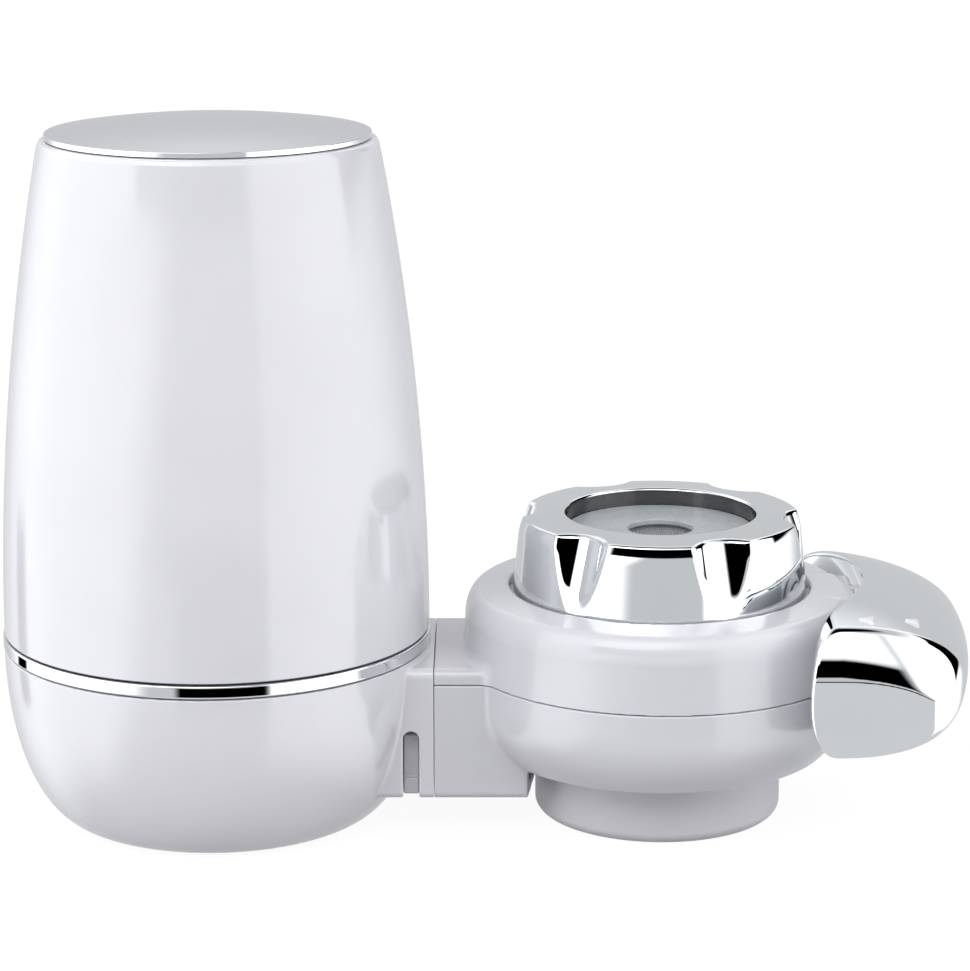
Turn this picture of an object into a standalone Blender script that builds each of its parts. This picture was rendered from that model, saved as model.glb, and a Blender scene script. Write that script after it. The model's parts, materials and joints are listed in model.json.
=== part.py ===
"""Faucet mount water filter: a tall ceramic filter unit beside a round selector valve.

Units are metres, +Z is up. The origin is the middle of the filter cup's flat foot. The valve
stands on its own axis towards +X, and -Y is the side that faces the user at the sink.
"""
import math

import bmesh
import bpy
from mathutils import Vector

# Facets round a turned piece, from the large ones to a spray hole and a seal's section
ROUND_STEPS = 36
BOSS_STEPS = 28
NECK_STEPS = 24
ROTOR_STEPS = 16
SMALL_STEPS = 14
FINE_STEPS = 10
HOLE_STEPS = 6
SEAL_STEPS = 5

# Clearance between pieces that touch, and how far a cutter overshoots a face
CLEAR = 0.0003
OVER = 0.0010

# Bracket on the cup, and the valve's arm, which share one section
ARM_BOTTOM = 0.0066
ARM_ROUND = 0.0022
ARM_WALL = 0.0022
ARM_ROOF = 0.0016

# Two tubes that join the valve block and the cup
TUBE_R = 0.0040
TUBE_BORE_R = 0.0018
TUBE_Y = 0.0080
TUBE_RISE = 0.0079
TUBE_Z = ARM_BOTTOM + TUBE_RISE
TUBE_IN_CUP = 0.0112
TUBE_IN_BLOCK = 0.0060
TUBE_GROOVE_R = 0.0030
TUBE_BOSS_WALL = 0.0020
TUBE_SEAL_WIRE_R = 0.00055
PASSAGE_R = 0.0020
ROOM_OVER_TUBES = 0.0150
ARM_TOP = TUBE_Z + ROOM_OVER_TUBES
ROOM_BESIDE_TUBES = 0.0087
ARM_HALF_WIDTH = TUBE_Y + ROOM_BESIDE_TUBES

# Filter cup, with the neck that the cover screws onto
CUP_R = 0.03665
CUP_SIDE_ROUND = 0.01265
CUP_FOOT_R = CUP_R - CUP_SIDE_ROUND
CUP_OVER_ARM = 0.0008
CUP_HEIGHT = ARM_TOP + CUP_OVER_ARM
CUP_FLOOR = 0.0030
CUP_CAVITY_INSET = 0.0010
CUP_CAVITY_FOOT_R = CUP_FOOT_R - CUP_CAVITY_INSET
CUP_CAVITY_ROUND = 0.0090
NECK_STEP = 0.00365
NECK_R = CUP_R - NECK_STEP
NECK_WALL = 0.0024
NECK_RISE = 0.0125
NECK_TOP = CUP_HEIGHT + NECK_RISE

# Seal in the neck's groove
COVER_SEAL_WIRE_R = 0.0008
COVER_SEAL_BELOW_RIM = 0.0018
COVER_SEAL_BORE_R = NECK_R + CLEAR - 2 * COVER_SEAL_WIRE_R

# Trim ring between cup and cover
RING_OVERHANG = 0.00015
RING_R = CUP_R + RING_OVERHANG
RING_HEIGHT = 0.0022
RING_EDGE = 0.0003

# Filter cover
COVER_SET_BACK = 0.00005
COVER_R = CUP_R - COVER_SET_BACK
COVER_TAPER = 0.0081
COVER_TOP_R = COVER_R - COVER_TAPER
COVER_HEIGHT = 0.0839
COVER_TAPER_POWER = 1.95
COVER_WALL = 0.0022
COVER_ROOF = 0.0020
COVER_SHOULDER = 0.0014
COVER_LIP = 0.0011
COVER_THREAD_RISE = NECK_RISE + 0.0010
COVER_LEVELS = 5
ROOF_RINGS = 3
COVER_BOTTOM = CUP_HEIGHT + CLEAR + RING_HEIGHT + CLEAR
COVER_TOP = COVER_BOTTOM + COVER_HEIGHT
RIM_Z = COVER_TOP + COVER_SHOULDER

# Top plate, a thin domed disc sunk in the cover's roof
PLATE_THICKNESS = 0.0008
PLATE_DOME = 0.0035
PLATE_R = COVER_TOP_R - COVER_LIP - CLEAR
CEILING_Z = RIM_Z - PLATE_THICKNESS - CLEAR - COVER_ROOF

# Cartridge
SPIGOT_R = 0.0056
SPIGOT_BORE_R = 0.0026
SPIGOT_LENGTH = 0.0125
SPIGOT_SEAL_WIRE_R = 0.0007
SPIGOT_SEALS_AT = (0.0038, 0.0078)
SOCKET_R = SPIGOT_R + CLEAR
SOCKET_WALL = 0.0028
SOCKET_OVER_TUBES = 0.0062
SOCKET_TOP = TUBE_Z + SOCKET_OVER_TUBES
CAP_WALL = 0.0010
CAP_FLOOR = 0.0020
CAP_SKIRT = 0.0070
PAD_THICKNESS = 0.0025
KNOB_R = 0.0075
KNOB_HEIGHT = 0.0055
KNOB_HEAD_ROOM = 0.0058
WATER_GAP = 0.0061
CERAMIC_R = NECK_R - NECK_WALL - WATER_GAP
CERAMIC_WALL = 0.0065
CERAMIC_BORE_R = CERAMIC_R - CERAMIC_WALL
CAP_R = CERAMIC_R + CLEAR + CAP_WALL
CARTRIDGE_BOTTOM = SOCKET_TOP + CLEAR
CERAMIC_BOTTOM = CARTRIDGE_BOTTOM + CAP_FLOOR + CLEAR
CERAMIC_TOP = CEILING_Z - KNOB_HEAD_ROOM - KNOB_HEIGHT - CAP_FLOOR - CLEAR

# Bracket's end, and the clip in its slot
BRACKET_REACH = 0.00085
BRACKET_END = CUP_R + BRACKET_REACH
SLOT_BACK = 0.0052
SLOT_START = BRACKET_END - SLOT_BACK
SLOT_WIDTH = 0.0027
SLOT_END = SLOT_START + SLOT_WIDTH
SLOT_OVER_TUBES = 0.0041
SLOT_TOP = TUBE_Z + SLOT_OVER_TUBES
CLIP_FOOT_HEIGHT = 0.0028
CLIP_SET_BACK = 0.0030
CLIP_FOOT_SET_BACK = 0.0008

# Necks of the valve block, and what sits on the inlet neck
INLET_NECK_R = 0.0124
INLET_BORE_R = 0.0065
OUTLET_NECK_INSET = 0.0004
OUTLET_NECK_R = INLET_NECK_R - OUTLET_NECK_INSET
OUTLET_BORE_R = 0.0088
SCREEN_R = 0.0075
SCREEN_THICKNESS = 0.0008
SCREEN_HOLE_R = 0.0011
SCREEN_HOLE_RING_R = 0.0041
GASKET_THICKNESS = 0.0015
GASKET_HOLE_R = 0.0056
RETAINER_REACH = 0.0032
RETAINER_R = INLET_NECK_R + RETAINER_REACH
RETAINER_THICKNESS = 0.0014
RETAINER_DEPTH = 0.0011
RETAINER_GROOVE_R = INLET_NECK_R - RETAINER_DEPTH
RETAINER_GAP = 0.0040

# Radii of the swivel nut and its flutes
NUT_ROUND_RETAINER = 0.0007
NUT_BORE_R = RETAINER_R + NUT_ROUND_RETAINER
NUT_RIM_WIDTH = 0.0080
NUT_TOP_R = NUT_BORE_R + NUT_RIM_WIDTH
NUT_FLARE = 0.0010
NUT_BOTTOM_R = NUT_TOP_R + NUT_FLARE
NUT_SKIRT_WALL = 0.0031
NUT_SKIRT_BORE_R = NUT_BOTTOM_R - NUT_SKIRT_WALL
NUT_LIP = 0.0028
NUT_EDGE = 0.0007
FLUTE_COUNT = 6
FLUTE_R = 0.0070
FLUTE_DEPTH = 0.0030
FLUTE_CUTTER_OVER = 0.0040
FLUTE_FIRST_ANGLE = -37

# Valve housing: radii about the valve's axis
NUT_GAP = 0.0011
RECESS_R = NUT_BOTTOM_R + NUT_GAP
COLLAR_WIDTH = 0.0045
COLLAR_EDGE_R = RECESS_R + COLLAR_WIDTH
COLLAR_SHOULDER = 0.0026
COLLAR_SIDE_R = COLLAR_EDGE_R + COLLAR_SHOULDER
BODY_LEAN = 0.0004
BODY_R = COLLAR_SIDE_R + BODY_LEAN
BODY_FOOT_INSET = 0.0094
BODY_FOOT_R = BODY_R - BODY_FOOT_INSET
BODY_WALL = 0.0022
RECESS_WALL = 0.0018
ARM_START = BRACKET_END + CLEAR
ARM_FREE_LENGTH = 0.0046
VALVE_X = ARM_START + ARM_FREE_LENGTH + BODY_R

# Valve housing: heights above the foot
BODY_OVER_ARM = 0.0048
BODY_BOTTOM = ARM_BOTTOM + BODY_OVER_ARM
BODY_ROUND_HEIGHT = 0.0126
PIVOT_OVER_TUBES = 0.0145
PIVOT_Z = TUBE_Z + PIVOT_OVER_TUBES
PARTING_DROP = 0.0022
PARTING_Z = PIVOT_Z - PARTING_DROP
COLLAR_SIDE_RISE = 0.0058
COLLAR_SIDE_Z = PIVOT_Z + COLLAR_SIDE_RISE
COLLAR_ROUND_HEIGHT = 0.0049
COLLAR_EDGE_Z = COLLAR_SIDE_Z + COLLAR_ROUND_HEIGHT
COLLAR_RISE = 0.0007
COLLAR_TOP_Z = COLLAR_EDGE_Z + COLLAR_RISE
RECESS_DEPTH = 0.0017
RECESS_FLOOR_Z = COLLAR_TOP_Z - RECESS_DEPTH

# Heights of the inlet neck and the nut
INLET_NECK_RISE = 0.0103
INLET_NECK_TOP = RECESS_FLOOR_Z + INLET_NECK_RISE
GASKET_BOTTOM = INLET_NECK_TOP + CLEAR
SCREEN_BOTTOM = INLET_NECK_TOP - SCREEN_THICKNESS
RETAINER_TOP = SCREEN_BOTTOM - CLEAR
RETAINER_BOTTOM = RETAINER_TOP - RETAINER_THICKNESS
NUT_LIP_TOP = RETAINER_BOTTOM - CLEAR
NUT_BOTTOM = RECESS_FLOOR_Z + CLEAR
NUT_OVER_NECK = 0.0032
NUT_TOP_Z = INLET_NECK_TOP + NUT_OVER_NECK
NUT_CROWN = 0.0009
NUT_RIM_Z = NUT_TOP_Z + NUT_CROWN
FLUTE_LENGTH = 0.0095
FLUTE_TIP_Z = NUT_TOP_Z - FLUTE_LENGTH

# Screws that hold the two shells together, above the outlet nozzle
POST_R = 0.0036
POST_GAP = 0.0009
SCREW_RING_R = OUTLET_NECK_R + POST_GAP + POST_R
SCREW_ANGLES = (60, 120, 240, 300)
SCREW_SHANK_R = 0.00115
SCREW_HEAD_R = 0.0026
SCREW_HEAD_HEIGHT = 0.0012
SCREW_LENGTH = 0.0150
POST_LENGTH = 0.0078
POST_SPLIT_Z = BODY_BOTTOM + POST_LENGTH

# Boss on the housing, and the rotor in its barrel
BOSS_R = 0.0105
BOSS_REACH = 0.0016
BOSS_END = BODY_R + BOSS_REACH
BOSS_END_WALL = 0.0012
BOSS_WALL_START = BOSS_END - BOSS_END_WALL
ROTOR_R = 0.0052
ROTOR_NECK_R = 0.0048
ROTOR_FLANGE = 0.0012
ROTOR_SEAL_WIRE_R = 0.00055
ROTOR_SEALS_AT = (-0.0140, 0.0120, 0.0240)
ROTOR_PORT_R = 0.0034
TANG_HALF = 0.0032
TANG_LENGTH = 0.0080
ROTOR_BORE_R = ROTOR_R + CLEAR
FLANGE_END = BOSS_WALL_START - CLEAR
FLANGE_START = FLANGE_END - ROTOR_FLANGE

# Valve block: rotor barrel, outlet neck and tube sockets
OUTLET_NECK_DROP = 0.0044
OUTLET_NECK_BOTTOM = BODY_BOTTOM - OUTLET_NECK_DROP
BARREL_WALL = 0.0017
BARREL_R = ROTOR_BORE_R + BARREL_WALL
BOSS_BORE_R = BARREL_R + CLEAR
BARREL_FRONT = FLANGE_START - CLEAR
MANIFOLD_INSET = 0.0045
MANIFOLD_START = ARM_START + MANIFOLD_INSET - VALVE_X
MANIFOLD_LENGTH = 0.0088
MANIFOLD_END = MANIFOLD_START + MANIFOLD_LENGTH
MANIFOLD_BESIDE_TUBES = 0.0052
MANIFOLD_HALF_WIDTH = TUBE_Y + MANIFOLD_BESIDE_TUBES
MANIFOLD_FLOOR_GAP = 0.0028
MANIFOLD_BOTTOM = ARM_BOTTOM + MANIFOLD_FLOOR_GAP
MANIFOLD_ROOF_GAP = 0.0055
MANIFOLD_TOP = ARM_TOP - MANIFOLD_ROOF_GAP
BARREL_IN_MANIFOLD = 0.0045
BARREL_BACK = MANIFOLD_START + BARREL_IN_MANIFOLD
BLOCK_PASSAGE_R = 0.0014
BLOCK_SOCKET_END = MANIFOLD_START + TUBE_IN_BLOCK

# Lever, in places relative to its pivot on the valve's axis
LEVER_FRONT_Y = -0.0333
LEVER_BACK_Y = 0.0289
LEVER_HALF_HEIGHT = 0.0119
LEVER_RISE = 0.0020
LEVER_WRAP = 0.0102
LEVER_INNER_X = BODY_R - LEVER_WRAP
LEVER_RIM = 0.0023
LEVER_MIDDLE_X = LEVER_INNER_X + LEVER_RIM
BOWL_GAP = 0.0025
BOWL_DEPTH_X = BOSS_END + BOWL_GAP
BOWL_SLOPE = 0.0120
BOWL_TURN_R = 0.0185
BOWL_R = 0.0450
BOWL_RINGS = 8
LEVER_CROWN = 0.0144
LEVER_OUTER_X = BOWL_DEPTH_X + LEVER_CROWN
LEVER_OUTER_Y = 0.0050
LEVER_FRONT_FALL = 0.0047
LEVER_BACK_FALL = 0.0224
LEVER_FRONT_CURVE = 2.4
LEVER_BACK_CURVE = 2.0
LEVER_FRONT_SQUARE = 14.0
LEVER_BACK_SQUARE = 3.1
LEVER_SECTION_SQUARE = 2.28
LEVER_BACK_THINNER = 0.12
LEVER_STATIONS = 18
LEVER_SECTION_POINTS = 24

# Outlet nozzle and what it holds
NOZZLE_INSET = 0.0032
NOZZLE_R = BODY_FOOT_R - NOZZLE_INSET
NOZZLE_RIM_ROUND = 0.0022
NOZZLE_WALL = 0.0024
NOZZLE_BORE_R = NOZZLE_R - NOZZLE_WALL
NOZZLE_ROOF = 0.0021
NOZZLE_TOP = BODY_BOTTOM - CLEAR
NOZZLE_ROOF_Z = NOZZLE_TOP - NOZZLE_ROOF
NOZZLE_LIP = 0.0017
NOZZLE_LIP_R = NOZZLE_BORE_R - NOZZLE_LIP
NOZZLE_LIP_HEIGHT = 0.0018
SLEEVE_R = 0.0070
SLEEVE_WALL = 0.0011
SLEEVE_FLANGE = 0.0009
SLEEVE_DROP = 0.0026
SPRAY_THICKNESS = 0.0015
SPRAY_HOLE_R = 0.0006
SPRAY_RIM = 0.0030
SPRAY_RINGS = ((SLEEVE_R + SPRAY_RIM, 6), (NOZZLE_LIP_R - SPRAY_RIM, 12))
SPRAY_BOTTOM = NOZZLE_LIP_HEIGHT + CLEAR
SPRAY_TOP = SPRAY_BOTTOM + SPRAY_THICKNESS
SLEEVE_FLANGE_Z = SPRAY_TOP + CLEAR
AERATOR_THICKNESS = 0.0008
AERATOR_HOLE_R = 0.0008
AERATOR_HOLE_RING_R = 0.0035
MESH_HOLES = 7
MESH_HOLE_PHASE = 7.0


def remove_all_objects():
    for obj in list(bpy.data.objects):
        bpy.data.objects.remove(obj, do_unlink=True)


def new_collection(name):
    collection = bpy.data.collections.new(name)
    bpy.context.scene.collection.children.link(collection)
    return collection


remove_all_objects()
PARTS = new_collection("faucet_mount_water_filter")
CUTTERS = new_collection("cutters")


def plastic_or_metal(name, colour, roughness, metallic=0.0, alpha=1.0):
    material = bpy.data.materials.new(name)
    material.use_nodes = True
    shader = material.node_tree.nodes["Principled BSDF"]
    shader.inputs["Base Color"].default_value = (*colour, 1.0)
    shader.inputs["Roughness"].default_value = roughness
    shader.inputs["Metallic"].default_value = metallic
    shader.inputs["Alpha"].default_value = alpha
    material.diffuse_color = (*colour, alpha)
    return material


WHITE = plastic_or_metal("white_gloss_plastic", (0.86, 0.86, 0.89), 0.16)
PALE = plastic_or_metal("pale_grey_plastic", (0.74, 0.74, 0.80), 0.18)
CHROME = plastic_or_metal("polished_chrome", (0.80, 0.81, 0.83), 0.05, 1.0)
SATIN = plastic_or_metal("satin_metal", (0.62, 0.62, 0.64), 0.30, 1.0)
STEEL = plastic_or_metal("spring_steel", (0.55, 0.55, 0.56), 0.28, 1.0)
RUBBER = plastic_or_metal("black_rubber", (0.03, 0.03, 0.03), 0.60)
CLEAR_RUBBER = plastic_or_metal("clear_silicone", (0.62, 0.65, 0.67), 0.25, 0.0, 0.6)
CERAMIC = plastic_or_metal("white_ceramic", (0.88, 0.86, 0.80), 0.85)
CARBON = plastic_or_metal("granular_carbon", (0.03, 0.03, 0.03), 0.90)
FELT = plastic_or_metal("white_felt", (0.80, 0.80, 0.78), 0.95)
NATURAL = plastic_or_metal("natural_plastic", (0.72, 0.72, 0.70), 0.35)


def new_object(name, mesh, material=None):
    """A piece goes with the parts; what has no material is a cutter or an operand."""
    obj = bpy.data.objects.new(name, mesh)
    if material:
        mesh.materials.append(material)
        PARTS.objects.link(obj)
    else:
        CUTTERS.objects.link(obj)
        obj.hide_render = True
        obj.display_type = "WIRE"
    return obj


def mesh_from_bmesh(name, bm):
    mesh = bpy.data.meshes.new(name)
    bm.to_mesh(mesh)
    bm.free()
    return mesh


def turned(name, profile, material=None, at=(0, 0, 0), steps=ROUND_STEPS, ring=False, along_x=False):
    """Turn (radius, height) points, which run down the outer side, about the Z or X axis."""
    mesh = bpy.data.meshes.new(name)
    count = len(profile)
    edges = [(i, i + 1) for i in range(count - 1)]
    if ring:
        edges.append((count - 1, 0))
    mesh.from_pydata([(radius, 0.0, height) for radius, height in profile], edges, [])
    obj = new_object(name, mesh, material)
    obj.location = at
    if along_x:
        obj.rotation_euler = (0, math.pi / 2, 0)
    screw = obj.modifiers.new("Turn", "SCREW")
    screw.axis = "Z"
    screw.steps = steps
    screw.render_steps = steps
    screw.use_smooth_shade = True
    screw.use_merge_vertices = True
    screw.merge_threshold = 0.000001
    return obj


def arc(centre, radii, start, end, steps):
    """Points of an ellipse arc about (radius, height), angles in degrees from the outward side."""
    points = []
    for i in range(steps + 1):
        angle = math.radians(start + (end - start) * i / steps)
        points.append((centre[0] + radii[0] * math.cos(angle), centre[1] + radii[1] * math.sin(angle)))
    return points


def box(name, low, high, material=None):
    bm = bmesh.new()
    bmesh.ops.create_cube(bm, size=1.0)
    middle = [(a + b) / 2 for a, b in zip(low, high)]
    for vert in bm.verts:
        vert.co = [co * (b - a) for co, a, b in zip(vert.co, low, high)]
    obj = new_object(name, mesh_from_bmesh(name, bm), material)
    obj.location = middle
    return obj


def bar(name, low, high, radius, round_top=True, round_bottom=True):
    """A box along X whose long edges are rounded."""
    obj = box(name, low, high)
    bm = bmesh.new()
    bm.from_mesh(obj.data)
    weight = bm.edges.layers.float.new("bevel_weight_edge")
    for edge in bm.edges:
        a, b = (vert.co for vert in edge.verts)
        along_x = abs(a.x - b.x) > abs(a.y - b.y) + abs(a.z - b.z)
        wanted = round_top if a.z > 0 else round_bottom
        edge[weight] = 1.0 if along_x and wanted else 0.0
    bm.to_mesh(obj.data)
    bm.free()
    bevel = obj.modifiers.new("Rounded edges", "BEVEL")
    bevel.limit_method = "WEIGHT"
    bevel.width = radius
    bevel.segments = 4
    return obj


def rod(name, start, end, radius, steps=SMALL_STEPS):
    """A cylinder between two points."""
    start, end = Vector(start), Vector(end)
    bm = bmesh.new()
    bmesh.ops.create_cone(bm, cap_ends=True, segments=steps, radius1=radius, radius2=radius,
                          depth=(end - start).length)
    obj = new_object(name, mesh_from_bmesh(name, bm))
    obj.location = (start + end) / 2
    obj.rotation_euler = (end - start).to_track_quat("Z", "Y").to_euler()
    return obj


def bore(name, start, end, radius, steps=SMALL_STEPS):
    """A cutter whose flats lie at the radius, so that a shaft of that radius passes."""
    return rod(name, start, end, radius / math.cos(math.pi / steps), steps)


def drills(name, places, low_z, high_z, radius, steps):
    """One cutter of upright holes, at (x, y) places about the valve's axis."""
    bm = bmesh.new()
    for x, y in places:
        made = bmesh.ops.create_cone(bm, cap_ends=True, segments=steps, radius1=radius, radius2=radius,
                                     depth=high_z - low_z)
        bmesh.ops.translate(bm, verts=made["verts"], vec=(x, y, 0))
    obj = new_object(name, mesh_from_bmesh(name, bm))
    obj.location = on_valve(0, 0, (low_z + high_z) / 2)
    return obj


def circle_places(radius, count, first_angle=0.0):
    for index in range(count):
        angle = math.radians(first_angle + 360 * index / count)
        yield (radius * math.cos(angle), radius * math.sin(angle))


def boolean(target, other, operation):
    modifier = target.modifiers.new(other.name, "BOOLEAN")
    modifier.operation = operation
    modifier.solver = "EXACT"
    modifier.object = other


def cut(target, *others):
    for other in others:
        boolean(target, other, "DIFFERENCE")


def join(target, *others):
    for other in others:
        boolean(target, other, "UNION")


def ring_seal(name, wire_r, inner_r, middle, material=RUBBER, steps=SMALL_STEPS, along_x=False,
              height=0.0):
    """A round-section ring of the given bore; middle is its centre and height its place on the axis."""
    section = arc((inner_r + wire_r, height), (wire_r, wire_r), 90, -270 + 360 / SEAL_STEPS,
                  SEAL_STEPS - 1)
    return turned(name, section, material, middle, steps, ring=True, along_x=along_x)


def on_valve(x, y, z):
    return (VALVE_X + x, y, z)


def tube_sides():
    return (("raw", TUBE_Y), ("filtered", -TUBE_Y))


# Filter unit

def make_filter_cup():
    seal_z = NECK_TOP - COVER_SEAL_BELOW_RIM
    groove_half = COVER_SEAL_WIRE_R + CLEAR
    groove_r = COVER_SEAL_BORE_R - CLEAR
    outside = [(0, NECK_TOP), (NECK_R, NECK_TOP), (NECK_R, seal_z + groove_half),
               (groove_r, seal_z + groove_half), (groove_r, seal_z - groove_half),
               (NECK_R, seal_z - groove_half), (NECK_R, CUP_HEIGHT)]
    outside += arc((CUP_FOOT_R, CUP_HEIGHT), (CUP_R - CUP_FOOT_R, CUP_HEIGHT), 0, -90, 7)
    outside.append((0, 0))
    cup = turned("filter_cup", outside, WHITE)
    join(cup, bar("bracket_block", (CUP_FOOT_R - CUP_FLOOR, -ARM_HALF_WIDTH, ARM_BOTTOM),
                  (BRACKET_END, ARM_HALF_WIDTH, ARM_TOP), ARM_ROUND))

    cavity_r = NECK_R - NECK_WALL
    cavity = [(0, NECK_TOP + OVER), (cavity_r, NECK_TOP + OVER)]
    cavity += arc((CUP_CAVITY_FOOT_R, CUP_FLOOR + CUP_CAVITY_ROUND),
                  (cavity_r - CUP_CAVITY_FOOT_R, CUP_CAVITY_ROUND), 0, -90, 3)
    cavity.append((0, CUP_FLOOR))
    cut(cup, turned("cup_cavity", cavity))

    socket_outer = SOCKET_R + SOCKET_WALL
    spigot_bottom = CARTRIDGE_BOTTOM - SPIGOT_LENGTH
    socket_floor = spigot_bottom - CLEAR
    join(cup, rod("cartridge_socket", (0, 0, CUP_FLOOR - OVER), (0, 0, SOCKET_TOP), socket_outer))
    boss_r = TUBE_R + CLEAR + TUBE_BOSS_WALL
    tube_end = BRACKET_END - TUBE_IN_CUP - CLEAR
    boss_end = tube_end - TUBE_BOSS_WALL
    for side, y in tube_sides():
        join(cup, rod(f"{side}_boss", (boss_end, y, TUBE_Z), (cavity_r + OVER, y, TUBE_Z), boss_r))
    duct_start = (boss_end + OVER, -TUBE_Y, TUBE_Z)
    duct_end = (0, 0, (CUP_FLOOR + socket_floor) / 2 + PASSAGE_R)
    join(cup, rod("filtered_duct", duct_start, duct_end, PASSAGE_R + TUBE_BOSS_WALL, FINE_STEPS))

    cut(cup, bore("socket_bore", (0, 0, socket_floor), (0, 0, SOCKET_TOP + OVER), SOCKET_R))
    for side, y in tube_sides():
        cut(cup, bore(f"{side}_cup_bore", (tube_end, y, TUBE_Z), (BRACKET_END + OVER, y, TUBE_Z),
                      TUBE_R + CLEAR))
    cut(cup, bore("raw_inlet", (boss_end - OVER, TUBE_Y, TUBE_Z), (tube_end + OVER, TUBE_Y, TUBE_Z),
                  PASSAGE_R, FINE_STEPS))
    cut(cup, bore("filtered_outlet", (tube_end + OVER, -TUBE_Y, TUBE_Z), duct_end, PASSAGE_R, FINE_STEPS))
    slot_round = SLOT_WIDTH / 2
    slot_middle = SLOT_START + slot_round
    half = ARM_HALF_WIDTH + OVER
    round_z = SLOT_TOP - slot_round
    cut(cup, box("clip_slot", (SLOT_START, -half, ARM_BOTTOM - OVER), (SLOT_END, half, round_z)))
    cut(cup, bore("clip_slot_top", (slot_middle, -half, round_z), (slot_middle, half, round_z),
                  slot_round, FINE_STEPS))
    return cup


def make_connector_clip():
    """Fork clip, pushed up into the slot, that grips the grooves of both tubes."""
    start, end = SLOT_START + CLEAR, SLOT_END - CLEAR
    bottom = ARM_BOTTOM + CLEAR
    half = ARM_HALF_WIDTH - CLIP_SET_BACK
    foot_half = ARM_HALF_WIDTH - CLIP_FOOT_SET_BACK
    top = SLOT_TOP - SLOT_WIDTH / 2
    clip = box("connector_clip", (start, -half, bottom), (end, half, top), NATURAL)
    join(clip, box("clip_foot", (start, -foot_half, bottom), (end, foot_half, bottom + CLIP_FOOT_HEIGHT)))
    grip = TUBE_GROOVE_R + CLEAR
    for side, y in tube_sides():
        cut(clip, bore(f"{side}_clip_seat", (start - OVER, y, TUBE_Z), (end + OVER, y, TUBE_Z), grip))
        cut(clip, box(f"{side}_clip_mouth", (start - OVER, y - grip, TUBE_Z),
                      (end + OVER, y + grip, top + OVER)))
    return clip


def make_trim_ring():
    bottom = CUP_HEIGHT + CLEAR
    top = bottom + RING_HEIGHT
    inner = NECK_R + 2 * CLEAR
    section = [(RING_R - RING_EDGE, top), (RING_R, top - RING_EDGE), (RING_R, bottom + RING_EDGE),
               (RING_R - RING_EDGE, bottom), (inner, bottom), (inner, top)]
    return turned("trim_ring", section, CHROME, ring=True)


def cover_radius(share):
    """Outer radius of the cover at a share of its height."""
    return COVER_R - COVER_TAPER * share ** COVER_TAPER_POWER


def dome_height(radius):
    return PLATE_DOME * (1 - (radius / PLATE_R) ** 2)


def make_filter_cover():
    plate_seat_r = COVER_TOP_R - COVER_LIP
    seat_z = RIM_Z - PLATE_THICKNESS - CLEAR
    seat_radii = [plate_seat_r * i / ROOF_RINGS for i in range(ROOF_RINGS + 1)]
    outside = [(radius, seat_z + dome_height(min(PLATE_R, radius))) for radius in seat_radii]
    outside.append((plate_seat_r, RIM_Z))
    outside += arc((plate_seat_r, COVER_TOP), (COVER_LIP, COVER_SHOULDER), 60, 0, 2)
    for i in range(COVER_LEVELS - 1, -1, -1):
        share = i / COVER_LEVELS
        outside.append((cover_radius(share), COVER_BOTTOM + COVER_HEIGHT * share))

    thread_r = NECK_R + 2 * CLEAR
    thread_top = COVER_BOTTOM + COVER_THREAD_RISE
    ceiling_r = COVER_TOP_R - COVER_WALL - COVER_LIP
    inside = [(thread_r, COVER_BOTTOM), (thread_r, thread_top)]
    for i in range(2, COVER_LEVELS):
        share = i / COVER_LEVELS
        inside.append((cover_radius(share) - COVER_WALL, COVER_BOTTOM + COVER_HEIGHT * share))
    inside.append((ceiling_r, CEILING_Z))
    for i in range(ROOF_RINGS - 1, -1, -1):
        radius = ceiling_r * i / ROOF_RINGS
        inside.append((radius, CEILING_Z + dome_height(radius)))
    return turned("filter_cover", outside + inside, WHITE)


def make_top_plate():
    radii = [PLATE_R * i / ROOF_RINGS for i in range(ROOF_RINGS + 1)]
    upper = [(radius, RIM_Z + dome_height(radius)) for radius in radii]
    lower = [(radius, height - PLATE_THICKNESS) for radius, height in reversed(upper)]
    return turned("top_plate", upper + lower, SATIN)


def make_cover_seal():
    return ring_seal("cover_seal", COVER_SEAL_WIRE_R, COVER_SEAL_BORE_R, (0, 0, 0), steps=ROUND_STEPS,
                     height=NECK_TOP - COVER_SEAL_BELOW_RIM)


# Cartridge

def spigot_seal_places():
    return [CARTRIDGE_BOTTOM - SPIGOT_LENGTH + place for place in SPIGOT_SEALS_AT]


def seal_bore(wire_r, bore_r):
    """Bore of a ring that keeps its clearance to the hole round it."""
    return bore_r - CLEAR - 2 * wire_r


def grooves(radius, wire_r, places, bore_r):
    """Profile points of a shaft's seal grooves, from the highest place down."""
    half = wire_r + CLEAR
    bottom_r = seal_bore(wire_r, bore_r) - CLEAR
    points = []
    for place in sorted(places, reverse=True):
        points += [(radius, place + half), (bottom_r, place + half), (bottom_r, place - half),
                   (radius, place - half)]
    return points


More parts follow.
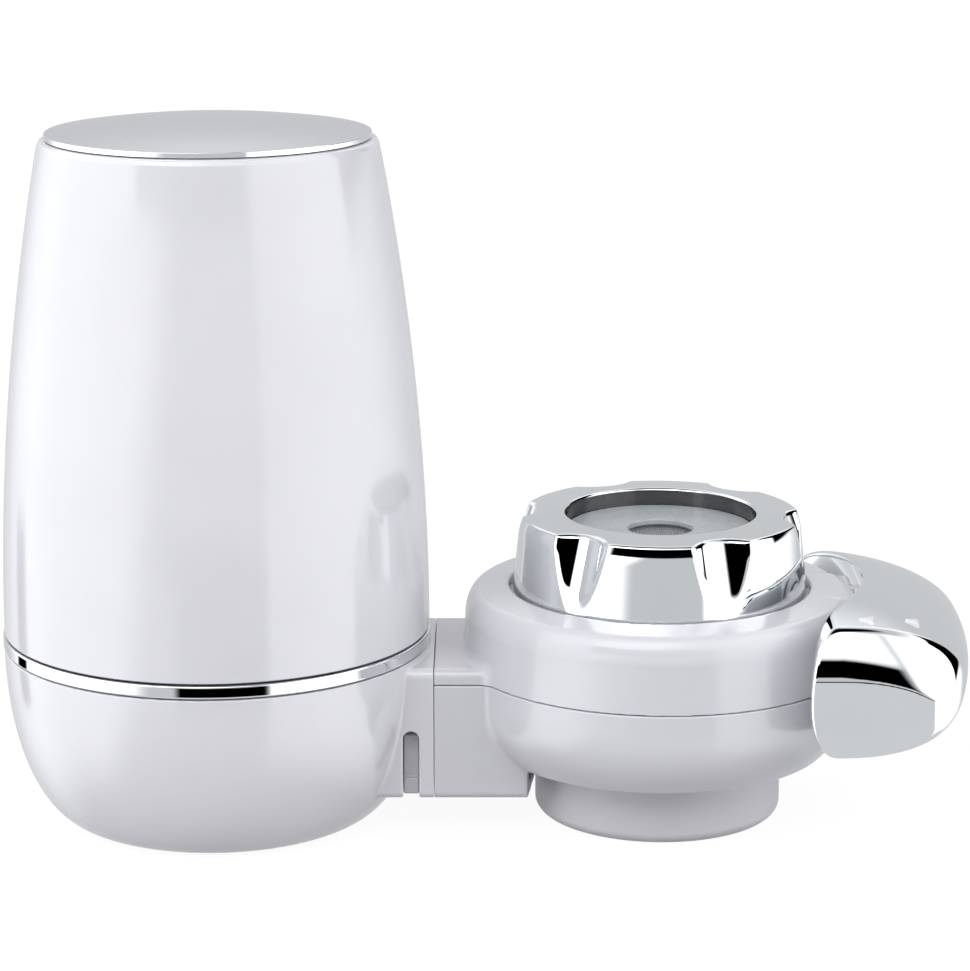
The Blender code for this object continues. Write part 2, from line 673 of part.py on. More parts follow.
def make_cartridge():
    floor_z = CARTRIDGE_BOTTOM + CAP_FLOOR
    skirt_top = CERAMIC_BOTTOM + CAP_SKIRT
    spigot_bottom = CARTRIDGE_BOTTOM - SPIGOT_LENGTH
    profile = [(SPIGOT_BORE_R, floor_z), (CAP_R - CAP_WALL, floor_z), (CAP_R - CAP_WALL, skirt_top),
               (CAP_R, skirt_top), (CAP_R, CARTRIDGE_BOTTOM), (SPIGOT_R, CARTRIDGE_BOTTOM)]
    profile += grooves(SPIGOT_R, SPIGOT_SEAL_WIRE_R, spigot_seal_places(), SOCKET_R)
    profile += [(SPIGOT_R, spigot_bottom), (SPIGOT_BORE_R, spigot_bottom)]
    turned("cartridge_base_cap", profile, NATURAL, steps=SMALL_STEPS, ring=True)
    for name, place in zip(("spigot_seal_lower", "spigot_seal_upper"), spigot_seal_places()):
        ring_seal(name, SPIGOT_SEAL_WIRE_R, seal_bore(SPIGOT_SEAL_WIRE_R, SOCKET_R), (0, 0, 0),
                  steps=FINE_STEPS, height=place)

    turned("ceramic_tube", [(CERAMIC_R, CERAMIC_TOP), (CERAMIC_R, CERAMIC_BOTTOM),
                            (CERAMIC_BORE_R, CERAMIC_BOTTOM), (CERAMIC_BORE_R, CERAMIC_TOP)],
           CERAMIC, steps=SMALL_STEPS, ring=True)
    fill_r = CERAMIC_BORE_R - CLEAR
    pad_top = CERAMIC_BOTTOM + PAD_THICKNESS
    core_bottom = pad_top + CLEAR
    core_top = CERAMIC_TOP - PAD_THICKNESS - CLEAR
    for name, low, high, material in (
            ("carbon_pad_lower", CERAMIC_BOTTOM, pad_top, FELT),
            ("carbon_core", core_bottom, core_top, CARBON),
            ("carbon_pad_upper", core_top + CLEAR, CERAMIC_TOP, FELT)):
        turned(name, [(0, high), (fill_r, high), (fill_r, low), (0, low)], material, steps=SMALL_STEPS)

    cap_z = CERAMIC_TOP + CLEAR
    cap_top = cap_z + CAP_FLOOR
    knob_top = cap_top + KNOB_HEIGHT
    turned("cartridge_top_cap",
           [(0, knob_top), (KNOB_R, knob_top), (KNOB_R - CAP_WALL, cap_top), (CAP_R, cap_top),
            (CAP_R, CERAMIC_TOP - CAP_SKIRT), (CAP_R - CAP_WALL, CERAMIC_TOP - CAP_SKIRT),
            (CAP_R - CAP_WALL, cap_z), (0, cap_z)], NATURAL, steps=SMALL_STEPS)


# Tubes between the cup and the valve block

def make_tubes():
    start = BRACKET_END - TUBE_IN_CUP
    end = VALVE_X + BLOCK_SOCKET_END - CLEAR
    cup_seal_x = (start + SLOT_START) / 2
    block_seal_x = (VALVE_X + MANIFOLD_START + end) / 2
    bore_r = TUBE_R + CLEAR
    for side, y in tube_sides():
        profile = [(TUBE_R, end)]
        profile += grooves(TUBE_R, TUBE_SEAL_WIRE_R, [block_seal_x], bore_r)
        profile += [(TUBE_R, SLOT_END), (TUBE_GROOVE_R, SLOT_END), (TUBE_GROOVE_R, SLOT_START),
                    (TUBE_R, SLOT_START)]
        profile += grooves(TUBE_R, TUBE_SEAL_WIRE_R, [cup_seal_x], bore_r)
        profile += [(TUBE_R, start), (TUBE_BORE_R, start), (TUBE_BORE_R, end)]
        turned(f"{side}_water_tube", profile, NATURAL, (0, y, TUBE_Z), FINE_STEPS, ring=True, along_x=True)
        for place, x in (("cup", cup_seal_x), ("valve", block_seal_x)):
            ring_seal(f"{side}_seal_at_{place}", TUBE_SEAL_WIRE_R, seal_bore(TUBE_SEAL_WIRE_R, bore_r),
                      (0, y, TUBE_Z), steps=FINE_STEPS, along_x=True, height=x)


# Valve housing

def screw_places():
    for angle in SCREW_ANGLES:
        yield (SCREW_RING_R * math.cos(math.radians(angle)), SCREW_RING_R * math.sin(math.radians(angle)))


def half_boss(name, low_z, high_z):
    """The part of the round side boss that lies between two heights."""
    boss = rod(name, on_valve(COLLAR_EDGE_R - BODY_WALL, 0, PIVOT_Z), on_valve(BOSS_END, 0, PIVOT_Z),
               BOSS_R, BOSS_STEPS)
    reach = BOSS_R + OVER
    limits = box(f"{name}_limits", on_valve(0, -reach, low_z), on_valve(BOSS_END + OVER, reach, high_z))
    boolean(boss, limits, "INTERSECT")
    return boss


def cut_boss_bores(shell, name):
    cut(shell, bore(f"{name}_barrel_way", on_valve(BODY_FOOT_R, 0, PIVOT_Z),
                    on_valve(BOSS_WALL_START, 0, PIVOT_Z), BOSS_BORE_R))
    cut(shell, bore(f"{name}_rotor_way", on_valve(BODY_FOOT_R, 0, PIVOT_Z),
                    on_valve(BOSS_END + OVER, 0, PIVOT_Z), ROTOR_NECK_R + CLEAR))


def make_valve_lower_shell():
    top = PARTING_Z - CLEAR / 2
    axis = on_valve(0, 0, 0)
    round_z = BODY_BOTTOM + BODY_ROUND_HEIGHT
    outside = [(0, top), (BODY_R, top)]
    outside += arc((BODY_FOOT_R, round_z), (BODY_R - BODY_FOOT_R, BODY_ROUND_HEIGHT), 0, -90, 5)
    outside.append((0, BODY_BOTTOM))
    shell = turned("valve_lower_shell", outside, PALE, axis)

    nozzle_side = NOZZLE_R + CLEAR
    arm_end = -math.sqrt(max(0, nozzle_side ** 2 - ARM_HALF_WIDTH ** 2))
    arm = bar("lower_arm", (ARM_START, -ARM_HALF_WIDTH, ARM_BOTTOM),
              on_valve(arm_end, ARM_HALF_WIDTH, top), ARM_ROUND, round_top=False)
    cut(arm, bore("nozzle_room", on_valve(0, 0, ARM_BOTTOM - OVER), on_valve(0, 0, BODY_BOTTOM + CLEAR / 2),
                  nozzle_side, ROUND_STEPS))
    join(shell, arm, half_boss("lower_boss", ARM_BOTTOM, top))

    cavity_r = BODY_R - BODY_WALL
    cavity_foot = BODY_FOOT_R - BODY_WALL
    cavity = [(0, PARTING_Z + OVER), (cavity_r, PARTING_Z + OVER)]
    cavity += arc((cavity_foot, round_z), (cavity_r - cavity_foot, BODY_ROUND_HEIGHT - BODY_WALL),
                  0, -90, 3)
    cavity.append((0, BODY_BOTTOM + BODY_WALL))
    cut(shell, turned("lower_cavity", cavity, at=axis))
    inner_half = ARM_HALF_WIDTH - ARM_WALL
    cut(shell, box("lower_arm_room", (ARM_START + ARM_WALL, -inner_half, ARM_BOTTOM + ARM_WALL),
                   on_valve(-BODY_FOOT_R, inner_half, PARTING_Z + OVER)))

    for index, (x, y) in enumerate(screw_places(), start=1):
        join(shell, rod(f"lower_post_{index}", on_valve(x, y, BODY_BOTTOM + BODY_WALL / 2),
                        on_valve(x, y, POST_SPLIT_Z), POST_R, FINE_STEPS))
        cut(shell, bore(f"head_room_{index}", on_valve(x, y, BODY_BOTTOM - OVER),
                        on_valve(x, y, BODY_BOTTOM + SCREW_HEAD_HEIGHT + 2 * CLEAR),
                        SCREW_HEAD_R + CLEAR, FINE_STEPS))
        cut(shell, bore(f"lower_pilot_{index}", on_valve(x, y, BODY_BOTTOM),
                        on_valve(x, y, POST_SPLIT_Z + OVER), SCREW_SHANK_R + CLEAR, FINE_STEPS))
    cut(shell, bore("outlet_hole", on_valve(0, 0, BODY_BOTTOM - OVER),
                    on_valve(0, 0, BODY_BOTTOM + BODY_WALL + OVER), OUTLET_NECK_R + CLEAR))
    for side, y in tube_sides():
        cut(shell, bore(f"{side}_arm_hole", (ARM_START - OVER, y, TUBE_Z),
                        (ARM_START + ARM_WALL + OVER, y, TUBE_Z), TUBE_R + CLEAR))
    cut_boss_bores(shell, "lower")
    return shell


def make_valve_upper_shell():
    bottom = PARTING_Z + CLEAR / 2
    axis = on_valve(0, 0, 0)
    outside = [(0, RECESS_FLOOR_Z), (RECESS_R, RECESS_FLOOR_Z), (RECESS_R, COLLAR_TOP_Z),
               (COLLAR_EDGE_R, COLLAR_EDGE_Z)]
    outside += arc((COLLAR_EDGE_R, COLLAR_SIDE_Z),
                   (COLLAR_SIDE_R - COLLAR_EDGE_R, COLLAR_EDGE_Z - COLLAR_SIDE_Z), 60, 0, 2)
    outside += [(BODY_R, bottom), (0, bottom)]
    shell = turned("valve_upper_shell", outside, PALE, axis)
    arm = bar("upper_arm", (ARM_START, -ARM_HALF_WIDTH, bottom),
              on_valve(-BODY_FOOT_R, ARM_HALF_WIDTH, ARM_TOP), ARM_ROUND, round_bottom=False)
    join(shell, arm, half_boss("upper_boss", bottom, COLLAR_TOP_Z))

    roof = RECESS_FLOOR_Z - RECESS_WALL
    cavity_r = BODY_R - BODY_WALL
    cavity_top_r = COLLAR_SIDE_R - BODY_WALL
    cut(shell, turned("upper_cavity", [(0, roof), (cavity_top_r - BODY_WALL / 2, roof),
                                       (cavity_top_r, COLLAR_SIDE_Z), (cavity_r, bottom),
                                       (cavity_r, bottom - OVER), (0, bottom - OVER)], at=axis))
    inner_half = ARM_HALF_WIDTH - ARM_WALL
    cut(shell, box("upper_arm_room", (ARM_START + ARM_WALL, -inner_half, bottom - OVER),
                   on_valve(-BODY_FOOT_R, inner_half, ARM_TOP - ARM_ROOF)))
    for index, (x, y) in enumerate(screw_places(), start=1):
        join(shell, rod(f"upper_post_{index}", on_valve(x, y, POST_SPLIT_Z + CLEAR),
                        on_valve(x, y, roof + RECESS_WALL / 2), POST_R, FINE_STEPS))
        cut(shell, bore(f"upper_pilot_{index}", on_valve(x, y, POST_SPLIT_Z),
                        on_valve(x, y, PARTING_Z + OVER), SCREW_SHANK_R + CLEAR, FINE_STEPS))
    cut(shell, bore("inlet_hole", on_valve(0, 0, roof - OVER), on_valve(0, 0, RECESS_FLOOR_Z + OVER),
                    INLET_NECK_R + CLEAR))
    cut_boss_bores(shell, "upper")
    return shell


def make_shell_screws():
    head_bottom = BODY_BOTTOM + CLEAR
    head_top = head_bottom + SCREW_HEAD_HEIGHT
    for index, (x, y) in enumerate(screw_places(), start=1):
        tip = head_top + SCREW_LENGTH
        profile = [(0, tip), (SCREW_SHANK_R, tip - SCREW_SHANK_R), (SCREW_SHANK_R, head_top),
                   (SCREW_HEAD_R, head_top), (SCREW_HEAD_R, head_bottom), (0, head_bottom)]
        turned(f"shell_screw_{index}", profile, STEEL, on_valve(x, y, 0), FINE_STEPS)


# Valve block and inlet

def make_valve_block():
    axis = on_valve(0, 0, 0)
    outside = [(0, INLET_NECK_TOP), (INLET_NECK_R, INLET_NECK_TOP),
               (INLET_NECK_R, RETAINER_TOP + CLEAR), (RETAINER_GROOVE_R, RETAINER_TOP + CLEAR),
               (RETAINER_GROOVE_R, RETAINER_BOTTOM - CLEAR), (INLET_NECK_R, RETAINER_BOTTOM - CLEAR),
               (INLET_NECK_R, PIVOT_Z), (OUTLET_NECK_R, PIVOT_Z), (OUTLET_NECK_R, OUTLET_NECK_BOTTOM),
               (0, OUTLET_NECK_BOTTOM)]
    block = turned("valve_block", outside, NATURAL, axis, NECK_STEPS)
    join(block, rod("rotor_barrel", on_valve(BARREL_BACK, 0, PIVOT_Z), on_valve(BARREL_FRONT, 0, PIVOT_Z),
                    BARREL_R))
    join(block, box("tube_manifold", on_valve(MANIFOLD_START, -MANIFOLD_HALF_WIDTH, MANIFOLD_BOTTOM),
                    on_valve(MANIFOLD_END, MANIFOLD_HALF_WIDTH, MANIFOLD_TOP)))
    bore_back = BARREL_BACK + BARREL_WALL
    cut(block, bore("rotor_bore", on_valve(bore_back, 0, PIVOT_Z),
                    on_valve(BARREL_FRONT + OVER, 0, PIVOT_Z), ROTOR_BORE_R))
    cut(block, turned("inlet_bore", [
        (0, INLET_NECK_TOP + OVER), (SCREEN_R + CLEAR, INLET_NECK_TOP + OVER),
        (SCREEN_R + CLEAR, SCREEN_BOTTOM - CLEAR), (INLET_BORE_R, SCREEN_BOTTOM - CLEAR),
        (INLET_BORE_R, PIVOT_Z + BARREL_R + OVER), (ROTOR_PORT_R, PIVOT_Z + BARREL_R + OVER),
        (ROTOR_PORT_R, PIVOT_Z - BARREL_R), (OUTLET_BORE_R, PIVOT_Z - BARREL_R),
        (OUTLET_BORE_R, OUTLET_NECK_BOTTOM - OVER), (0, OUTLET_NECK_BOTTOM - OVER)],
        at=axis, steps=SMALL_STEPS))
    passage_x = (BLOCK_SOCKET_END + MANIFOLD_END) / 2 - CLEAR
    for side, y in tube_sides():
        cut(block, bore(f"{side}_block_socket", on_valve(MANIFOLD_START - OVER, y, TUBE_Z),
                        on_valve(BLOCK_SOCKET_END, y, TUBE_Z), TUBE_R + CLEAR))
        inward = math.copysign(ROTOR_BORE_R / 2, y)
        cut(block, bore(f"{side}_passage", on_valve(passage_x, y, TUBE_Z),
                        on_valve(passage_x, inward, PIVOT_Z), BLOCK_PASSAGE_R, FINE_STEPS))
        cut(block, bore(f"{side}_port", on_valve(BLOCK_SOCKET_END - OVER, y, TUBE_Z),
                        on_valve(passage_x, y, TUBE_Z), BLOCK_PASSAGE_R, FINE_STEPS))
    return block


def make_inlet_pieces():
    axis = on_valve(0, 0, 0)
    screen = turned("inlet_screen", [(0, INLET_NECK_TOP), (SCREEN_R, INLET_NECK_TOP),
                                     (SCREEN_R, SCREEN_BOTTOM), (0, SCREEN_BOTTOM)],
                    STEEL, axis, SMALL_STEPS)
    places = circle_places(SCREEN_HOLE_RING_R, MESH_HOLES, MESH_HOLE_PHASE)
    cut(screen, drills("screen_holes", places, SCREEN_BOTTOM - OVER, INLET_NECK_TOP + OVER,
                       SCREEN_HOLE_R, HOLE_STEPS))
    gasket_top = GASKET_BOTTOM + GASKET_THICKNESS
    gasket_r = NUT_BORE_R - CLEAR
    turned("inlet_gasket", [(gasket_r, gasket_top), (gasket_r, GASKET_BOTTOM),
                            (GASKET_HOLE_R, GASKET_BOTTOM), (GASKET_HOLE_R, gasket_top)],
           CLEAR_RUBBER, axis, NECK_STEPS, ring=True)
    inner = RETAINER_GROOVE_R + CLEAR
    retainer = turned("nut_retaining_ring", [(RETAINER_R, RETAINER_TOP), (RETAINER_R, RETAINER_BOTTOM),
                                             (inner, RETAINER_BOTTOM), (inner, RETAINER_TOP)],
                      STEEL, axis, SMALL_STEPS, ring=True)
    cut(retainer, box("retainer_gap", on_valve(-RETAINER_GAP / 2, 0, RETAINER_BOTTOM - OVER),
                      on_valve(RETAINER_GAP / 2, RETAINER_R + OVER, RETAINER_TOP + OVER)))


def make_swivel_nut():
    lip_bottom = NUT_LIP_TOP - NUT_LIP
    bore = INLET_NECK_R + CLEAR
    section = [(NUT_BORE_R + NUT_EDGE, NUT_RIM_Z), (NUT_TOP_R - NUT_EDGE, NUT_TOP_Z + NUT_EDGE / 2),
               (NUT_TOP_R, NUT_TOP_Z - NUT_EDGE), (NUT_BOTTOM_R, NUT_BOTTOM + NUT_EDGE),
               (NUT_BOTTOM_R - NUT_EDGE, NUT_BOTTOM), (NUT_SKIRT_BORE_R, NUT_BOTTOM),
               (NUT_SKIRT_BORE_R, lip_bottom), (bore, lip_bottom), (bore, NUT_LIP_TOP),
               (NUT_BORE_R, NUT_LIP_TOP), (NUT_BORE_R, NUT_RIM_Z - NUT_EDGE)]
    nut = turned("swivel_nut", section, CHROME, on_valve(0, 0, 0), ring=True)
    side_slope = (NUT_BOTTOM_R - NUT_TOP_R) / (NUT_TOP_Z - NUT_BOTTOM)
    tip_r = NUT_TOP_R + side_slope * (NUT_TOP_Z - FLUTE_TIP_Z) + FLUTE_R
    top_r = NUT_TOP_R - FLUTE_DEPTH + FLUTE_R
    lean = (tip_r - top_r) / (NUT_TOP_Z - FLUTE_TIP_Z)
    low_z, high_z = FLUTE_TIP_Z - FLUTE_CUTTER_OVER, NUT_RIM_Z + FLUTE_CUTTER_OVER
    for index in range(FLUTE_COUNT):
        angle = math.radians(FLUTE_FIRST_ANGLE + 360 * index / FLUTE_COUNT)
        ends = []
        for z in (low_z, high_z):
            reach = tip_r + lean * (FLUTE_TIP_Z - z)
            ends.append(on_valve(reach * math.sin(angle), -reach * math.cos(angle), z))
        cut(nut, rod(f"flute_{index + 1}", ends[0], ends[1], FLUTE_R, BOSS_STEPS))
    return nut


# Rotor and lever

def make_rotor():
    pivot = on_valve(0, 0, PIVOT_Z)
    back = BARREL_BACK + BARREL_WALL + CLEAR
    neck_end = BOSS_END + CLEAR
    profile = [(0, neck_end), (ROTOR_NECK_R, neck_end), (ROTOR_NECK_R, FLANGE_END), (BARREL_R, FLANGE_END),
               (BARREL_R, FLANGE_START), (ROTOR_R, FLANGE_START)]
    profile += grooves(ROTOR_R, ROTOR_SEAL_WIRE_R, ROTOR_SEALS_AT, ROTOR_BORE_R)
    profile += [(ROTOR_R, back), (0, back)]
    rotor = turned("valve_rotor", profile, NATURAL, pivot, ROTOR_STEPS, along_x=True)
    join(rotor, box("tang", on_valve(neck_end - OVER, -TANG_HALF, PIVOT_Z - TANG_HALF),
                    on_valve(neck_end + TANG_LENGTH, TANG_HALF, PIVOT_Z + TANG_HALF)))
    cut(rotor, bore("cross_port", on_valve(0, 0, PIVOT_Z - 2 * ROTOR_R),
                    on_valve(0, 0, PIVOT_Z + 2 * ROTOR_R), ROTOR_PORT_R, FINE_STEPS))
    cut(rotor, bore("filter_port", on_valve(back - OVER, 0, PIVOT_Z), on_valve(0, 0, PIVOT_Z),
                    PASSAGE_R, FINE_STEPS))
    for index, x in enumerate(ROTOR_SEALS_AT, start=1):
        ring_seal(f"rotor_seal_{index}", ROTOR_SEAL_WIRE_R, seal_bore(ROTOR_SEAL_WIRE_R, ROTOR_BORE_R),
                  pivot, steps=FINE_STEPS, along_x=True, height=x)


def lever_outer_x(y):
    """How far the lever reaches outwards at a place along it."""
    if y < LEVER_OUTER_Y:
        share = (LEVER_OUTER_Y - y) / (LEVER_OUTER_Y - LEVER_FRONT_Y)
        return LEVER_OUTER_X - LEVER_FRONT_FALL * share ** LEVER_FRONT_CURVE
    share = (y - LEVER_OUTER_Y) / (LEVER_BACK_Y - LEVER_OUTER_Y)
    return LEVER_OUTER_X - LEVER_BACK_FALL * share ** LEVER_BACK_CURVE


def lever_section(y):
    """Rounded section of the lever across its length, as points relative to the pivot."""
    middle = (LEVER_FRONT_Y + LEVER_BACK_Y) / 2
    half_length = (LEVER_BACK_Y - LEVER_FRONT_Y) / 2
    share = (y - middle) / half_length
    square = LEVER_FRONT_SQUARE if share < 0 else LEVER_BACK_SQUARE
    size = max(0.0, 1 - abs(share) ** square) ** (1 / square)
    height = LEVER_HALF_HEIGHT * size
    if y > 0:
        height *= 1 - LEVER_BACK_THINNER * (y / LEVER_BACK_Y) ** 2
    points = []
    for index in range(LEVER_SECTION_POINTS):
        angle = 2 * math.pi * index / LEVER_SECTION_POINTS
        across = math.copysign(abs(math.cos(angle)) ** (2 / LEVER_SECTION_SQUARE), math.cos(angle))
        up = math.copysign(abs(math.sin(angle)) ** (2 / LEVER_SECTION_SQUARE), math.sin(angle))
        half = lever_outer_x(y) - LEVER_MIDDLE_X if across > 0 else LEVER_MIDDLE_X - LEVER_INNER_X
        points.append((LEVER_MIDDLE_X + half * across * size, y, LEVER_RISE + height * up))
    return points


def make_lever():
    """A loft of rounded sections, hollowed by a bowl that clears the valve housing as it turns."""
    middle = (LEVER_FRONT_Y + LEVER_BACK_Y) / 2
    half_length = (LEVER_BACK_Y - LEVER_FRONT_Y) / 2
    bm = bmesh.new()
    rings = []
    for index in range(LEVER_STATIONS):
        turn = math.pi * (index + 0.5) / LEVER_STATIONS
        y = middle - half_length * math.cos(turn)
        rings.append([bm.verts.new(point) for point in lever_section(y)])
    for ring, following in zip(rings, rings[1:]):
        for i in range(LEVER_SECTION_POINTS):
            j = (i + 1) % LEVER_SECTION_POINTS
            bm.faces.new((ring[i], ring[j], following[j], following[i]))
    for y, ring in ((LEVER_FRONT_Y, rings[0]), (LEVER_BACK_Y, rings[-1])):
        pole = bm.verts.new((LEVER_MIDDLE_X, y, LEVER_RISE))
        for i in range(LEVER_SECTION_POINTS):
            bm.faces.new((pole, ring[i], ring[(i + 1) % LEVER_SECTION_POINTS]))
    bmesh.ops.recalc_face_normals(bm, faces=bm.faces)
    lever = new_object("lever", mesh_from_bmesh("lever", bm), CHROME)
    lever.location = on_valve(0, 0, PIVOT_Z)

    bowl = [(0, BOWL_DEPTH_X)]
    for index in range(1, BOWL_RINGS + 1):
        radius = BOWL_R * index / BOWL_RINGS
        bowl.append((radius, BOWL_DEPTH_X - BOWL_SLOPE * (math.hypot(1, radius / BOWL_TURN_R) - 1)))
    bowl += [(BOWL_R, 0), (0, 0)]
    cut(lever, turned("lever_bowl", bowl, at=on_valve(0, 0, PIVOT_Z), along_x=True))
    room = TANG_HALF + CLEAR
    cut(lever, box("tang_socket", on_valve(BOSS_END, -room, PIVOT_Z - room),
                   on_valve(BOSS_END + 2 * CLEAR + TANG_LENGTH, room, PIVOT_Z + room)))
    return lever


# Outlet

def make_outlet():
    axis = on_valve(0, 0, 0)
    section = [(NOZZLE_R, NOZZLE_TOP)]
    section += arc((NOZZLE_R - NOZZLE_RIM_ROUND, NOZZLE_RIM_ROUND),
                   (NOZZLE_RIM_ROUND, NOZZLE_RIM_ROUND), 0, -90, 3)
    section += [(NOZZLE_LIP_R, 0), (NOZZLE_LIP_R, NOZZLE_LIP_HEIGHT), (NOZZLE_BORE_R, NOZZLE_LIP_HEIGHT),
                (NOZZLE_BORE_R, NOZZLE_ROOF_Z), (OUTLET_NECK_R + CLEAR, NOZZLE_ROOF_Z),
                (OUTLET_NECK_R + CLEAR, NOZZLE_TOP)]
    turned("outlet_nozzle", section, PALE, axis, ring=True)

    plate_r = NOZZLE_BORE_R - CLEAR
    hole_r = SLEEVE_R + CLEAR
    spray = turned("spray_plate", [(plate_r, SPRAY_TOP), (plate_r, SPRAY_BOTTOM), (hole_r, SPRAY_BOTTOM),
                                   (hole_r, SPRAY_TOP)], NATURAL, axis, NECK_STEPS, ring=True)
    places = []
    for ring_r, count in SPRAY_RINGS:
        places += circle_places(ring_r, count, MESH_HOLE_PHASE)
    cut(spray, drills("spray_holes", places, SPRAY_BOTTOM - OVER, SPRAY_TOP + OVER,
                      SPRAY_HOLE_R, HOLE_STEPS))

    bore = SLEEVE_R - SLEEVE_WALL
    flange_top = SLEEVE_FLANGE_Z + SLEEVE_FLANGE
    turned("aerator_sleeve", [(OUTLET_NECK_R, flange_top), (OUTLET_NECK_R, SLEEVE_FLANGE_Z),
                              (SLEEVE_R, SLEEVE_FLANGE_Z), (SLEEVE_R, SLEEVE_FLANGE_Z - SLEEVE_DROP),
                              (bore, SLEEVE_FLANGE_Z - SLEEVE_DROP), (bore, flange_top)],
           NATURAL, axis, SMALL_STEPS, ring=True)
    seal_bottom = flange_top + CLEAR
    screen_r = OUTLET_BORE_R - CLEAR
    screen_top = seal_bottom + AERATOR_THICKNESS
    screen = turned("aerator_screen", [(0, screen_top), (screen_r, screen_top), (screen_r, seal_bottom),
                                       (0, seal_bottom)], STEEL, axis, SMALL_STEPS)
    places = circle_places(AERATOR_HOLE_RING_R, MESH_HOLES, MESH_HOLE_PHASE)
    cut(screen, drills("aerator_holes", places, seal_bottom - OVER, screen_top + OVER,
                       AERATOR_HOLE_R, HOLE_STEPS))
    seal_top = OUTLET_NECK_BOTTOM - CLEAR
    turned("outlet_seal", [(OUTLET_NECK_R, seal_top), (OUTLET_NECK_R, seal_bottom),
                           (OUTLET_BORE_R, seal_bottom), (OUTLET_BORE_R, seal_top)],
           RUBBER, axis, SMALL_STEPS, ring=True)


make_filter_cup()
make_connector_clip()
make_trim_ring()
make_filter_cover()
make_top_plate()
make_cover_seal()
make_cartridge()
make_tubes()
make_valve_lower_shell()
make_valve_upper_shell()
make_shell_screws()
make_valve_block()
make_inlet_pieces()
make_swivel_nut()
make_rotor()
make_lever()
make_outlet()
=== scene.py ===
"""Looks of a faucet mount water filter: fine surfaces, finishes, light and camera.

Sizes are millimetres, and become metres where a mesh is made. The filter stands on the Z axis,
the valve on its own upright axis towards +X, and -Y is the side that faces the user.
"""

import json
import math

import bpy
import numpy as np
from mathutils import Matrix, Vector


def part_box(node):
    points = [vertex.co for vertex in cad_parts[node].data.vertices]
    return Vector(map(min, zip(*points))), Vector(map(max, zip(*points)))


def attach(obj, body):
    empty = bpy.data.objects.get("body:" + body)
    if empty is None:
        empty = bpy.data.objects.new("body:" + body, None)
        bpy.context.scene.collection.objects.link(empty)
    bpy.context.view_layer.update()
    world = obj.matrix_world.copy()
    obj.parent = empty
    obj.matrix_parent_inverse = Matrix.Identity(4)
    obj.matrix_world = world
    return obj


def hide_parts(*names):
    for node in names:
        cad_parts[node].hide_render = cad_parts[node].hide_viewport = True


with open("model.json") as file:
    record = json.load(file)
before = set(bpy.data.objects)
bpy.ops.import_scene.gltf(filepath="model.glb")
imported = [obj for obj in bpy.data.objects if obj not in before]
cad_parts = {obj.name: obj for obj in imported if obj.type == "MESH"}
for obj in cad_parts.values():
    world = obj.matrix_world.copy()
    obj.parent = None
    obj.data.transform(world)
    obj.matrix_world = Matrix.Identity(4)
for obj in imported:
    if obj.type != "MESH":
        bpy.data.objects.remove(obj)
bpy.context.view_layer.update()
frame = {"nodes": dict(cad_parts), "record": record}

MM = 0.001


def low(node):
    """Lowest corner of a construction piece, in millimetres."""
    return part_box(node)[0] / MM


def high(node):
    """Highest corner of a construction piece, in millimetres."""
    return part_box(node)[1] / MM


def ends(node, centre_x=0.0):
    """Foot and top heights of a round construction piece, and its outer radius."""
    return low(node).z, high(node).z, high(node).x - centre_x


# Facets of the fine surfaces, and the widest steps of the grids that are skinned
TURN_STEPS = 192
SMALL_TURN_STEPS = 96
NUT_STEPS = 540
ARC_STEP_DEG = 15
CUP_STEP = 0.68
HOUSING_STEP = 0.6
HOUSING_RISE_STEP = 0.55
LEVER_STEP = 0.5

# Clearance between neighbours, as in the construction, the fine joints that show outside, how far
# a form reaches into the one that it grows from, and the radius at the middle of a closed disc
CLEAR = 0.3
JOINT = 0.08
OVERLAP = 1.0
CENTRE_R = 0.05

# Rounds of the turned edges
SHARP = 0.1
FINE = 0.2
SOFT = 0.3

# Filter unit
CUP_FOOT_R = 24.0
CUP_R = 36.65
CUP_HEIGHT = 30.3
CUP_FLOOR = 3.0
CAVITY_FOOT_R = 23.0
CAVITY_ROUND = 9.0
NECK_R = 33.0
NECK_WALL = 2.4
NECK_TOP = high("filter_cup").z
SEAL_BELOW_RIM = 1.8
SEAL_WIRE_R = 0.8
SEAL_WIRE_STEPS = 16
NECK_SUNK = 0.5
NECK_THREAD_START = 1.6
NECK_THREAD_RUNOUT = 0.6
SOCKET_R = 8.7
SOCKET_BORE_R = 5.9
SOCKET_TOP = 20.7
SOCKET_FLOOR = 8.2
RING_R = 36.8
COVER_BOTTOM = low("filter_cover").z
COVER_R = 36.6
COVER_TOP_R = 28.5
COVER_HEIGHT = 83.9
COVER_TAPER_POWER = 1.95
COVER_WALL = 2.2
COVER_ROOF = 2.0
COVER_SHOULDER = 1.4
COVER_LIP = 1.1
COVER_TOP = COVER_BOTTOM + COVER_HEIGHT
COVER_CENTRE_R = 0.5
COVER_THREAD_START = 1.0
COVER_THREAD_END = 9.5
COVER_SOCKET_DEPTH = 13.5
COVER_STEPS = 26
COVER_INNER_STEPS = 24
RIM_Z = COVER_TOP + COVER_SHOULDER
PLATE_R = COVER_TOP_R - COVER_LIP - CLEAR
PLATE_SHOWN_R = COVER_TOP_R - COVER_LIP - JOINT
RIM_SHOWS = 1.05
PLATE_DOME = 2.3
PLATE_THICKNESS = 0.8
PLATE_STEPS = 12
THREAD_PITCH = 3.2
THREAD_DEPTH = 0.55
THREAD_FLANK = 1.6
THREAD_FADE = 1.2

# Cartridge
CERAMIC_WALL = 6.5
CAP_WALL = 1.0
CAP_FLOOR = 2.0
SPIGOT_R = 5.6
SPIGOT_BORE_R = 2.6
SPIGOT_GROOVE_R = 3.9
SPIGOT_GROOVES = (7.8, 3.8)
SPIGOT_GROOVE_HALF = 1.0
KNOB_R = 7.5

